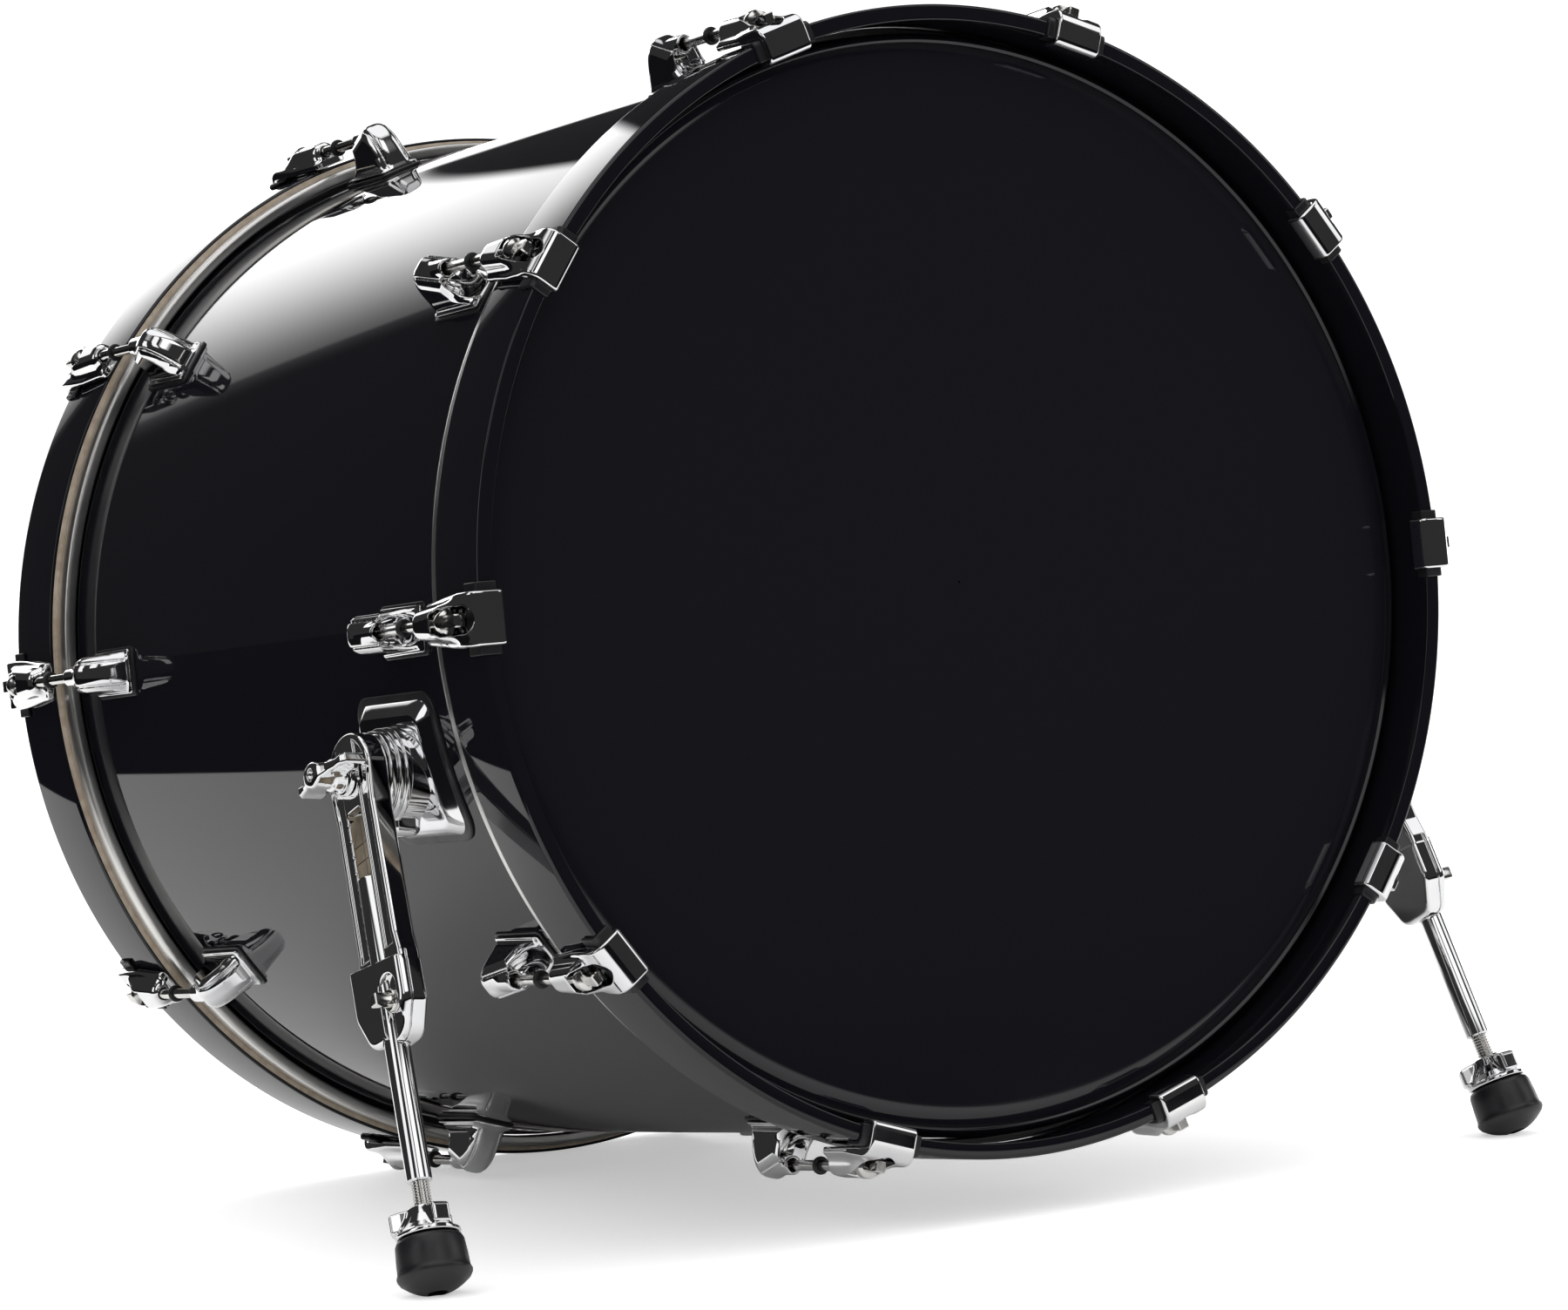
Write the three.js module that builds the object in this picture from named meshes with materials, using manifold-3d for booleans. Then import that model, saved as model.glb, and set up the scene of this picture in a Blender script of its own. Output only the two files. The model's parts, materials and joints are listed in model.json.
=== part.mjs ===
// Bass drum, 22 inches across, lying on its side: one shell, two hoops, two heads with their
// flesh hoops, twenty lugs, twenty claw hooks with their tension rods, and two folding spurs.
// Millimetres. The drum is drawn about its own axis, +Y from the front hoop to the batter hoop,
// and the whole group is then tipped nose-up and set down on the floor, z = 0.
import * as THREE from "three";
import { mergeVertices } from "three/addons/utils/BufferGeometryUtils.js";
import Module from "manifold-3d";

const wasm = await Module();
wasm.setup();

// Driving dimensions.
const shellRadius = 279.4;
const shellWall = 7;
const bevel = 5;
const hoopRadius = 292;
const hoopWall = 8.3;
const hoopDepth = 42.6;
const hoopChamfer = 2;
const overallLength = 524;
const headRecess = 22.8;
const filmThickness = 0.5;
const skirtWall = 1.2;
const skirtEnd = 50;
const skirtClearance = 0.4;
const fleshInner = 281.6;
const fleshOuter = 288;
const fleshDepth = 11.5;
const fleshCorner = 2;
const gap = 0.3;
const overcut = 1;
const tilt = THREE.MathUtils.degToRad(3.2);
const ringSegments = 60;

// Ten tension points at each end, 36 degrees apart, none at the very top or bottom.
const tensionPoints = 10;
const pointSpacing = THREE.MathUtils.degToRad(360 / tensionPoints);
const rodAxisRadius = 301;
const rodRadius = 2.75;
const rodEnd = 100;
const boreClearance = 0.6;

const lug = {
  start: 85, end: 118.5, foot: 279.75, top: 308, crown: 105, width: 24.6, band: 17, flange: 4,
  rim: 1.5, bowlDepth: 1.1, bowlHeight: 1.3, bowlLift: 2,
};
const receiver = { radius: 5, start: 85.4, end: 96 };

const claw = {
  nose: 44.5, boxTop: 306.5, boxStart: 18.5, rampFoot: 2, plateTop: 296.5, front: -4.5,
  hookTip: 281, width: 26.5, boxWidth: 19, boxTopWidth: 14.5, pocketWidth: 13.5, pocketFloor: 293.8,
  bend: 2, edge: 1,
};
const keyHead = { flangeRadius: 6.2, flangeEnd: 18.7, flangeStart: 14.5, start: 4, across: 6.35 };

// Spurs: drawn for the left side, mirrored for the right.
const spurAngle = THREE.MathUtils.degToRad(-104.2);
const spurStation = 120;
const spurPlate = { length: 80, arc: THREE.MathUtils.degToRad(16), thickness: 6.2, steps: 4 };
const pivot = new THREE.Vector3(-306.4, 116.75, -68.7);
const foldAxisTilt = THREE.MathUtils.degToRad(5.94);
const legRake = THREE.MathUtils.degToRad(18.66);
const bossSize = {
  rootRadius: 25, waistRadius: 20.5, rimRadius: 21, root: 24, waistStart: 23, waistEnd: 21, rim: 20,
  face: 9.4, reach: 44,
};
const armHead = { radius: 21, outer: 3, inner: 9 };
const arm = { width: 40, outer: 3, inner: 9 };
const clamp = { top: -96, end: -140.1, width: 41, outer: 10, inner: 9.6, edge: 5 };
const clampScrew = { across: 6.2, forward: -10, height: -120.6, end: 15 };
const slot = { top: -18, bottom: -98 };
const tube = { radius: 6.35, top: -54, end: -209.7 };
const threadRadius = 4;
const spike = { shoulder: -254.1, tip: -261.1, tipRadius: 0.8 };
const nut = { top: -222, flange: -233.3, end: -237.1, hubRadius: 7, baseRadius: 13, flangeRadius: 14 };
const nutWings = { count: 3, reach: 20, thickness: 5, height: 8, slope: 0.3, lift: 5.5 };
const foot = {
  top: -237.5, end: -265.8, topRadius: 16, lipRadius: 18.5, domeRadius: 24, domeSteps: 5,
  rimRadius: 17, lipRise: 2, shoulderRise: 5, spikeHole: 4.4,
};
const bolt = {
  radius: 4, inner: 30, hubRadius: 7, hubEnd: 23.6, wingInner: 5, wingOuter: 18.6, wingReach: 25,
  wingThickness: 5,
};
const boltWaist = { start: 3.3, radius: 11, end: 7 };
const smallSegments = 16;
const rodSegments = 8;
const headSegments = 24;

const vent = { radius: 7, flangeRadius: 13, flangeThickness: 2, tubeWall: 1.2, inside: 3, edge: 1 };
const ventSegments = 20;

// Height of the drum's axis above the floor at the front hoop, from the corner that the two lowest
// batter claws stand on.
const lowestClaw = pointSpacing / 2;
const clawDrop = claw.boxTop * Math.cos(lowestClaw) + (claw.boxTopWidth / 2) * Math.sin(lowestClaw);
const floorDrop = clawDrop * Math.cos(tilt) + (overallLength - claw.boxStart) * Math.sin(tilt);

// Colours.
const blackLacquer = new THREE.MeshStandardMaterial({ color: 0x0b0b0d, roughness: 0.06, metalness: 0 });
const blackFilm = new THREE.MeshStandardMaterial({ color: 0x17171b, roughness: 0.18, metalness: 0 });
const coatedFilm = new THREE.MeshStandardMaterial({ color: 0xd8dade, roughness: 0.15, metalness: 0 });
const chrome = new THREE.MeshStandardMaterial({ color: 0xd5d8dc, roughness: 0.07, metalness: 1 });
const aluminium = new THREE.MeshStandardMaterial({ color: 0xb9bcc0, roughness: 0.3, metalness: 1 });
const steelTube = new THREE.MeshStandardMaterial({ color: 0xc8cacd, roughness: 0.12, metalness: 1 });
const rubber = new THREE.MeshStandardMaterial({ color: 0x141414, roughness: 0.7, metalness: 0 });

// A geometry as a manifold solid, and back again.
function solid(geometry) {
  const bare = geometry.index ? geometry.toNonIndexed() : geometry.clone();
  bare.deleteAttribute("normal");
  bare.deleteAttribute("uv");
  const merged = mergeVertices(bare, 1e-4);
  const vertProperties = new Float32Array(merged.attributes.position.array);
  const triVerts = new Uint32Array(merged.index.array);
  return new wasm.Manifold(new wasm.Mesh({ numProp: 3, vertProperties, triVerts }));
}

function geometryOf(manifold) {
  const { vertProperties, triVerts } = manifold.getMesh();
  const geometry = new THREE.BufferGeometry();
  geometry.setAttribute("position", new THREE.BufferAttribute(new Float32Array(vertProperties), 3));
  geometry.setIndex(new THREE.BufferAttribute(new Uint32Array(triVerts), 1));
  geometry.computeVertexNormals();
  return geometry;
}

// A ring or disc about the drum's axis from [radius, station] corners.
function turned(corners, segments = ringSegments) {
  const profile = corners.map(([radius, station]) => new THREE.Vector2(radius, station));
  return new THREE.LatheGeometry(profile, segments);
}

// A slab of even width from an outline of [station, radius], as a claw or a lug is seen from its side.
function slab(shape, width) {
  const extrusion = { depth: width, bevelEnabled: false, curveSegments: 4 };
  const geometry = new THREE.ExtrudeGeometry(shape, extrusion);
  geometry.translate(0, 0, -width / 2);
  const alongDrum = new THREE.Vector3(0, 1, 0);
  const outward = new THREE.Vector3(0, 0, 1);
  const across = new THREE.Vector3(1, 0, 0);
  return geometry.applyMatrix4(new THREE.Matrix4().makeBasis(alongDrum, outward, across));
}

// Narrows a slab evenly from its foot to its top, down to a share of its width.
function tapered(geometry, footRadius, topRadius, share) {
  const place = geometry.attributes.position;
  for (let i = 0; i < place.count; i += 1) {
    const climb = (place.getZ(i) - footRadius) / (topRadius - footRadius);
    place.setX(i, place.getX(i) * (1 - climb * (1 - share)));
  }
  return geometry;
}

function polygon(corners) {
  return new THREE.Shape(corners.map(([x, y]) => new THREE.Vector2(x, y)));
}

// A cylinder or cone between two stations of the Y axis, moved out by a radius.
function post(startRadius, endRadius, start, end, offset = 0, segments = smallSegments) {
  const geometry = new THREE.CylinderGeometry(endRadius, startRadius, end - start, segments);
  return geometry.translate(0, (start + end) / 2, offset);
}

// A post about the axis of a tension rod.
function rodPost(radius, start, end) {
  return post(radius, radius, start, end, rodAxisRadius, rodSegments);
}

function block(width, length, height, x, y, z) {
  return new THREE.BoxGeometry(width, length, height).translate(x, y, z);
}

function mesh(name, geometry, material) {
  const made = new THREE.Mesh(geometry, material);
  made.name = name;
  return made;
}

// Copies a group's front-end piece to the batter end.
function atBatterEnd(piece) {
  const end = new THREE.Group();
  end.add(piece);
  end.position.y = overallLength;
  end.scale.y = -1;
  return end;
}

// Shell: an open tube with a bevelled bearing edge at each end and one air vent underneath.
function shellGeometry() {
  const edge = headRecess + gap;
  const inner = shellRadius - shellWall;
  const crest = inner + bevel;
  const front = [[inner, edge + bevel], [crest, edge], [shellRadius, edge + shellWall - bevel]];
  const back = front.map(([radius, station]) => [radius, overallLength - station]).reverse();
  const tubeWall = turned([...front, ...back, front[0]]);
  const hole = post(vent.radius, vent.radius, inner - bevel, shellRadius + bevel).rotateX(-Math.PI / 2);
  return geometryOf(solid(tubeWall).subtract(solid(hole.translate(0, overallLength / 2, 0))));
}

function hoopGeometry() {
  const inner = hoopRadius - hoopWall;
  const corners = [
    [inner, hoopDepth], [inner, hoopChamfer / 2], [inner + hoopChamfer / 2, 0],
    [hoopRadius - hoopChamfer, 0], [hoopRadius, hoopChamfer],
    [hoopRadius, hoopDepth - hoopChamfer], [hoopRadius - hoopChamfer, hoopDepth], [inner, hoopDepth],
  ];
  return turned(corners);
}

// Head: a flat film that turns over the bearing edge into a short skirt.
function headGeometry() {
  const outer = fleshInner - skirtClearance;
  const inner = outer - skirtWall;
  const shoulder = shellRadius - shellWall + bevel;
  const face = headRecess - filmThickness;
  return turned([
    [0, face], [shoulder, face], [outer, face + outer - shoulder], [outer, skirtEnd],
    [inner, skirtEnd], [inner, headRecess + inner - shoulder], [shoulder, headRecess], [0, headRecess],
  ]);
}

function fleshHoopGeometry() {
  const start = hoopDepth + gap;
  const end = start + fleshDepth;
  return turned([
    [fleshInner, end], [fleshInner, start], [fleshOuter - fleshCorner, start],
    [fleshOuter, start + fleshCorner], [fleshOuter, end - fleshCorner],
    [fleshOuter - fleshCorner, end], [fleshInner, end],
  ]);
}

// Lug: a cast quarter-round block on a flange, hollowed towards the hoop around its receiver.
function lugGeometry() {
  const crownDrop = lug.end - lug.crown;
  const side = new THREE.Shape();
  side.moveTo(lug.start, lug.foot);
  side.lineTo(lug.end, lug.foot);
  side.absellipse(lug.crown, lug.foot, crownDrop, lug.top - lug.foot, 0, Math.PI / 2, false);
  side.lineTo(lug.start, lug.top);
  const flange = polygon([
    [lug.start, lug.foot], [lug.end, lug.foot], [lug.end, lug.foot + lug.flange / 2],
    [lug.end - lug.flange, lug.foot + lug.flange], [lug.start, lug.foot + lug.flange],
  ]);
  const bowlRadius = lug.band / 2 - lug.rim;
  const bowl = new THREE.SphereGeometry(bowlRadius, 8, 5);
  bowl.scale(1, lug.bowlDepth, lug.bowlHeight);
  bowl.translate(0, lug.start, lug.foot + lug.flange + bowlRadius + lug.bowlLift);
  const bore = rodPost(rodRadius + boreClearance, lug.start - overcut, rodEnd + overcut);
  const mouth = rodPost(receiver.radius, receiver.start, receiver.end);
  const made = solid(slab(side, lug.band))
    .add(solid(slab(flange, lug.width)))
    .subtract(solid(bowl))
    .add(solid(mouth))
    .subtract(solid(bore));
  return geometryOf(made);
}

// Claw hook with its tension rod through it: the hook grips the hoop, the key head sits in the
// open pocket of the ramp, and the rod runs back along the drum into the lug's receiver.
function clawGeometry() {
  const top = hoopRadius + gap;
  const bendStart = claw.front + claw.bend;
  const hook = polygon([
    [claw.nose, top], [claw.nose, claw.plateTop], [bendStart, claw.plateTop],
    [claw.front, claw.plateTop - claw.bend], [claw.front, claw.hookTip], [-gap, claw.hookTip], [-gap, top],
  ].reverse());
  const nose = polygon([
    [claw.nose, top], [claw.nose, claw.boxTop - claw.edge], [claw.nose - claw.edge, claw.boxTop],
    [claw.boxStart, claw.boxTop], [claw.rampFoot, claw.plateTop], [claw.rampFoot, top],
  ].reverse());
  const hump = tapered(slab(nose, claw.boxWidth), top, claw.boxTop, claw.boxTopWidth / claw.boxWidth);
  const pocketLength = claw.boxStart - bendStart;
  const pocketMiddle = (claw.boxStart + bendStart) / 2;
  const pocketHeight = claw.boxTop - claw.pocketFloor + overcut;
  const pocketCentre = claw.pocketFloor + pocketHeight / 2;
  const pocket = block(claw.pocketWidth, pocketLength, pocketHeight, 0, pocketMiddle, pocketCentre);
  const keyLength = keyHead.flangeStart - keyHead.start;
  const keyMiddle = (keyHead.flangeStart + keyHead.start) / 2;
  const key = block(keyHead.across, keyLength, keyHead.across, 0, keyMiddle, rodAxisRadius);
  const made = solid(slab(hook, claw.width))
    .add(solid(hump))
    .subtract(solid(pocket))
    .add(solid(rodPost(keyHead.flangeRadius, keyHead.flangeStart, keyHead.flangeEnd)))
    .add(solid(key))
    .add(solid(rodPost(rodRadius, keyHead.flangeStart, rodEnd)));
  return geometryOf(made);
}

// A cylinder or cone along the leg, and one along the fold axis, its stations counted outwards.
function alongLeg(topRadius, bottomRadius, top, bottom, segments = smallSegments) {
  return post(bottomRadius, topRadius, bottom, top, 0, segments).rotateX(Math.PI / 2);
}

function alongFold(innerRadius, outerRadius, inner, outer, segments = smallSegments) {
  return post(innerRadius, outerRadius, inner, outer, 0, segments).rotateZ(Math.PI / 2);
}

// The fold axis of the left spur: -x points out of the drum.
function hingeGroup() {
  const hinge = new THREE.Group();
  hinge.position.copy(pivot);
  hinge.rotation.y = foldAxisTilt;
  hinge.updateMatrix();
  return hinge;
}

// Bracket: a curved plate on the shell with a round boss that carries the fold axis.
function bracketGeometry() {
  const plate = new THREE.Shape();
  const inner = shellRadius + 2 * gap;
  const outer = inner + spurPlate.thickness;
  const points = [];
  for (let step = 0; step <= spurPlate.steps; step += 1) {
    const angle = spurAngle + spurPlate.arc * (step / spurPlate.steps - 0.5);
    points.push(new THREE.Vector2(outer * Math.sin(angle), -outer * Math.cos(angle)));
  }
  for (let step = spurPlate.steps; step >= 0; step -= 1) {
    const angle = spurAngle + spurPlate.arc * (step / spurPlate.steps - 0.5);
    points.push(new THREE.Vector2(inner * Math.sin(angle), -inner * Math.cos(angle)));
  }
  plate.setFromPoints(points);
  const sheet = new THREE.ExtrudeGeometry(plate, { depth: spurPlate.length, bevelEnabled: false });
  sheet.translate(0, 0, -spurPlate.length / 2).rotateX(-Math.PI / 2).translate(0, spurStation, 0);
  const hinge = hingeGroup();
  const bossBody = turned([
    [0, -bossSize.reach], [bossSize.rootRadius, -bossSize.reach], [bossSize.rootRadius, -bossSize.root],
    [bossSize.waistRadius, -bossSize.waistStart], [bossSize.waistRadius, -bossSize.waistEnd],
    [bossSize.rimRadius, -bossSize.rim], [bossSize.rimRadius, -bossSize.face], [0, -bossSize.face],
  ], smallSegments).rotateZ(Math.PI / 2);
  const blind = alongFold(bolt.radius + gap, bolt.radius + gap, -bolt.inner - overcut, 0);
  const standing = solid(bossBody.applyMatrix4(hinge.matrix));
  const plateMiddle = (inner + outer) / 2;
  const coreSize = 4 * bossSize.rootRadius;
  const core = block(coreSize, coreSize, coreSize, 0, spurStation, plateMiddle - coreSize / 2);
  const boss = standing.subtract(solid(core.rotateY(spurAngle)));
  return geometryOf(boss.add(solid(sheet)).subtract(solid(blind.applyMatrix4(hinge.matrix))));
}

// The arm, rod, nut and foot are drawn about the leg: -x outwards, +y rearwards, +z up the leg, with
// the fold axis through zero.
// Arm: a broad flat casting with a round head on the fold axis and a long window over the rod, and a
// deeper clamp at its foot with a key screw beside the rod.
function armGeometry() {
  const headDisc = alongFold(armHead.radius, armHead.radius, -armHead.inner, armHead.outer, headSegments);
  const thickness = arm.inner + arm.outer;
  const across = (arm.inner - arm.outer) / 2;
  const bar = block(thickness, arm.width, -clamp.top + overcut, across, 0, (clamp.top - overcut) / 2);
  const outline = polygon([
    [clamp.outer - clamp.edge, -clamp.width / 2], [clamp.outer, -clamp.width / 2 + clamp.edge],
    [clamp.outer, clamp.width / 2 - clamp.edge], [clamp.outer - clamp.edge, clamp.width / 2],
    [-clamp.inner, clamp.width / 2], [-clamp.inner, -clamp.width / 2],
  ]);
  const grip = new THREE.ExtrudeGeometry(outline, { depth: clamp.top - clamp.end, bevelEnabled: false });
  grip.rotateY(Math.PI).translate(0, 0, clamp.top);
  const screwLength = clampScrew.end - clamp.outer + overcut;
  const screwMiddle = overcut / 2 - (clampScrew.end + clamp.outer) / 2;
  const screw = block(
    screwLength, clampScrew.across, clampScrew.across, screwMiddle, clampScrew.forward, clampScrew.height,
  );
  const boreRadius = tube.radius + gap;
  const tubeBore = alongLeg(boreRadius, boreRadius, slot.top, clamp.end - overcut);
  const windowDepth = clamp.outer + overcut;
  const windowMiddle = (slot.top + slot.bottom) / 2;
  const windowCut = block(
    windowDepth, 2 * boreRadius, slot.top - slot.bottom, -windowDepth / 2, 0, windowMiddle,
  );
  const holeRadius = bolt.radius + gap;
  const boltHole = alongFold(holeRadius, holeRadius, -armHead.inner - overcut, armHead.outer + overcut);
  const made = solid(headDisc)
    .add(solid(bar))
    .add(solid(grip))
    .subtract(solid(tubeBore))
    .subtract(solid(windowCut))
    .subtract(solid(boltHole))
    .add(solid(screw));
  return geometryOf(made);
}

// Wing bolt: a stud through the arm into the bracket's boss, with two broad wings on its hub.
function wingBoltGeometry() {
  const stud = alongFold(bolt.radius, bolt.radius, -bolt.inner, boltWaist.end);
  const washer = alongFold(boltWaist.radius, boltWaist.radius, boltWaist.start, boltWaist.end);
  const hub = alongFold(bolt.hubRadius, bolt.hubRadius - overcut, boltWaist.start, bolt.hubEnd);
  const wing = polygon([
    [-boltWaist.start - overcut, 0], [-bolt.wingInner, bolt.wingReach], [-bolt.wingOuter, bolt.wingReach],
    [-bolt.hubEnd + overcut, bolt.hubRadius - overcut], [-bolt.hubEnd + overcut, 0],
  ]);
  const sheet = new THREE.ExtrudeGeometry(wing, { depth: bolt.wingThickness, bevelEnabled: false });
  sheet.translate(0, 0, -bolt.wingThickness / 2);
  const opposite = sheet.clone().rotateX(Math.PI);
  const made = solid(stud).add(solid(washer)).add(solid(hub)).add(solid(sheet)).add(solid(opposite));
  return geometryOf(made);
}

// Rod: the tube that telescopes in the arm, with its threaded spike.
function legRodGeometry() {
  const sleeve = alongLeg(tube.radius, tube.radius, tube.top, tube.end);
  const thread = alongLeg(threadRadius, threadRadius, tube.end + overcut, spike.shoulder);
  const point = alongLeg(threadRadius, spike.tipRadius, spike.shoulder + overcut, spike.tip);
  return geometryOf(solid(sleeve).add(solid(thread)).add(solid(point)));
}

// Lock nut: a coned hub on a flange, with sloping wings, jammed against the foot.
function lockNutGeometry() {
  const hub = alongLeg(nut.hubRadius, nut.baseRadius, nut.top, nut.flange);
  const flange = alongLeg(nut.flangeRadius, nut.flangeRadius, nut.flange + overcut, nut.end);
  let made = solid(hub).add(solid(flange));
  for (let wing = 0; wing < nutWings.count; wing += 1) {
    const length = nutWings.reach - nut.hubRadius / 2;
    const blade = block(length, nutWings.thickness, nutWings.height, nutWings.reach - length / 2, 0, 0);
    blade.rotateY(nutWings.slope).translate(0, 0, nut.flange + nutWings.height / 2 + nutWings.lift);
    blade.rotateZ((wing * 2 * Math.PI) / nutWings.count);
    made = made.add(solid(blade));
  }
  const bore = alongLeg(threadRadius + gap, threadRadius + gap, tube.end, nut.end - overcut);
  return geometryOf(made.subtract(solid(bore)));
}

// Foot: a rubber tip with a domed underside, bored for the spike and worn flat where it stands.
function footGeometry(placing) {
  const middle = foot.end + foot.domeRadius;
  const rim = Math.asin(foot.rimRadius / foot.domeRadius);
  const corners = [[0, foot.end]];
  for (let step = 1; step <= foot.domeSteps; step += 1) {
    const angle = (rim * step) / foot.domeSteps;
    corners.push([foot.domeRadius * Math.sin(angle), middle - foot.domeRadius * Math.cos(angle)]);
  }
  const lip = middle - foot.domeRadius * Math.cos(rim) + foot.lipRise;
  corners.push([foot.lipRadius, lip], [foot.topRadius, lip + foot.shoulderRise]);
  corners.push([foot.topRadius, foot.top], [0, foot.top]);
  const tip = turned(corners, headSegments).rotateX(Math.PI / 2);
  const boreRadius = threadRadius + gap;
  const bore = alongLeg(boreRadius, boreRadius, foot.top + overcut, spike.shoulder - gap);
  const hole = alongLeg(foot.spikeHole, foot.spikeHole, spike.shoulder, foot.end - overcut);
  const made = solid(tip).subtract(solid(bore)).subtract(solid(hole));
  const underfoot = block(4 * hoopRadius, 4 * hoopRadius, hoopRadius, 0, 0, -floorDrop - hoopRadius / 2);
  underfoot.applyMatrix4(new THREE.Matrix4().makeRotationX(tilt));
  const inverse = placing.clone().invert();
  return geometryOf(made.subtract(solid(underfoot.applyMatrix4(inverse))));
}

// Vent grommet: a flanged eyelet through the underside of the shell.
function ventGeometry() {
  const outer = vent.radius - gap;
  const inner = outer - vent.tubeWall;
  const wallInside = shellRadius - shellWall - vent.inside;
  const seat = shellRadius + gap;
  const rim = seat + vent.flangeThickness;
  return turned([
    [inner, wallInside], [outer, wallInside], [outer, seat], [vent.flangeRadius, seat],
    [vent.flangeRadius, rim - vent.edge], [vent.flangeRadius - vent.edge, rim], [inner, rim],
    [inner, wallInside],
  ], ventSegments);
}

// The drum, drawn about its own axis.
const drum = new THREE.Group();
drum.add(mesh("shell", shellGeometry(), blackLacquer));

const fromBottom = new THREE.Group();
fromBottom.position.y = overallLength / 2;
fromBottom.rotation.x = -Math.PI / 2;
fromBottom.add(mesh("vent_grommet", ventGeometry(), chrome));
drum.add(fromBottom);

drum.add(mesh("front_hoop", hoopGeometry(), blackLacquer));
drum.add(mesh("front_head", headGeometry(), blackFilm));
drum.add(mesh("front_flesh_hoop", fleshHoopGeometry(), aluminium));
drum.add(atBatterEnd(mesh("batter_hoop", hoopGeometry(), blackLacquer)));
drum.add(atBatterEnd(mesh("batter_head", headGeometry(), coatedFilm)));
drum.add(atBatterEnd(mesh("batter_flesh_hoop", fleshHoopGeometry(), aluminium)));

const lugShape = lugGeometry();
const clawShape = clawGeometry();
for (let point = 0; point < tensionPoints; point += 1) {
  const number = String(point + 1).padStart(2, "0");
  const front = new THREE.Group();
  front.rotation.y = (point + 0.5) * pointSpacing;
  front.add(mesh(`front_lug_${number}`, lugShape, chrome));
  front.add(mesh(`front_claw_rod_${number}`, clawShape, chrome));
  front.add(atBatterEnd(mesh(`batter_lug_${number}`, lugShape, chrome)));
  front.add(atBatterEnd(mesh(`batter_claw_rod_${number}`, clawShape, chrome)));
  drum.add(front);
}

function spur(side) {
  const fixed = new THREE.Group();
  fixed.add(mesh(`${side}_spur_bracket`, bracketGeometry(), chrome));
  const hinge = hingeGroup();
  const leg = new THREE.Group();
  leg.rotation.x = -legRake;
  leg.updateMatrix();
  hinge.add(leg);
  const placing = hinge.matrix.clone().multiply(leg.matrix);
  leg.add(mesh(`${side}_spur_arm`, armGeometry(), chrome));
  leg.add(mesh(`${side}_wing_bolt`, wingBoltGeometry(), chrome));
  leg.add(mesh(`${side}_leg_rod`, legRodGeometry(), steelTube));
  leg.add(mesh(`${side}_lock_nut`, lockNutGeometry(), chrome));
  leg.add(mesh(`${side}_foot`, footGeometry(placing), rubber));
  fixed.add(hinge);
  return fixed;
}

drum.add(spur("left"));
const rightSpur = spur("right");
rightSpur.scale.x = -1;
drum.add(rightSpur);

// Tipped nose-up and stood on the floor, with the origin on the floor under the middle.
drum.rotation.x = -tilt;
const bassDrum = new THREE.Group();
bassDrum.add(drum);
bassDrum.updateMatrixWorld(true);
const reach = new THREE.Box3().setFromObject(bassDrum, true);
drum.position.set(0, -(reach.min.y + reach.max.y) / 2, floorDrop);

export default bassDrum;
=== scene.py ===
# Looks of a 22 inch bass drum: black lacquered shell and hoops, chromed claws, lugs and folding spurs.
# Shapes are drawn in millimetres about the drum's own axis (+Y from the front hoop to the batter hoop,
# z straight out of the shell at a tension point) and placed in the frame by one matrix.
import json
import math

import bpy
import numpy as np
from mathutils import Matrix, Vector

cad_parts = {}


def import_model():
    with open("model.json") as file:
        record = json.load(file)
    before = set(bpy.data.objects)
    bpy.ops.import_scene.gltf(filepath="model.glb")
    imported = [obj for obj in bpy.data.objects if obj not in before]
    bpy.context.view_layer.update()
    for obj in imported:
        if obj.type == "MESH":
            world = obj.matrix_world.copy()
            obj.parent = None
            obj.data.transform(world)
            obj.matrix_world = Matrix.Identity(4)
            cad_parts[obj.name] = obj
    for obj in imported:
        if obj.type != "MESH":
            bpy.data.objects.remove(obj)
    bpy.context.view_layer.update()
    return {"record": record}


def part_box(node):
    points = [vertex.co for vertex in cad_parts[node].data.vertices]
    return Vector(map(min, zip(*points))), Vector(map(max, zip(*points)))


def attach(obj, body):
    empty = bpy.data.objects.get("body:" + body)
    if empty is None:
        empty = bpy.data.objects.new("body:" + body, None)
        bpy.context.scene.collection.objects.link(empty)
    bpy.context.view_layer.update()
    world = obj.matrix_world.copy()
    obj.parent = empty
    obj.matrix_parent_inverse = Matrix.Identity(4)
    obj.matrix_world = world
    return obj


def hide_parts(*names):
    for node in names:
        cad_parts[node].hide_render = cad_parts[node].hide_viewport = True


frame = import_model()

MM = 0.001

# ---------------------------------------------------------------- sizes, in millimetres
SHELL_R = 279.4
SHELL_WALL = 7.0
BEARING_BEVEL = 5.0
HOOP_R = 292.0
HOOP_WALL = 8.3
HOOP_DEPTH = 42.6
LENGTH = 524.0
HEAD_RECESS = 22.8
HEAD_FILM = 0.5
FLESH_INNER = 281.6
FLESH_OUTER = 288.0
FLESH_DEPTH = 11.5
POINTS = 10
ROD_R = 301.0
# Angles in degrees: the fold axis against the level, the leg against the upright, the spur round the drum.
FOLD_TILT = 5.94
LEG_RAKE = 18.66
SPUR_ANGLE = -104.2
SPUR_Y = 120.0


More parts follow.
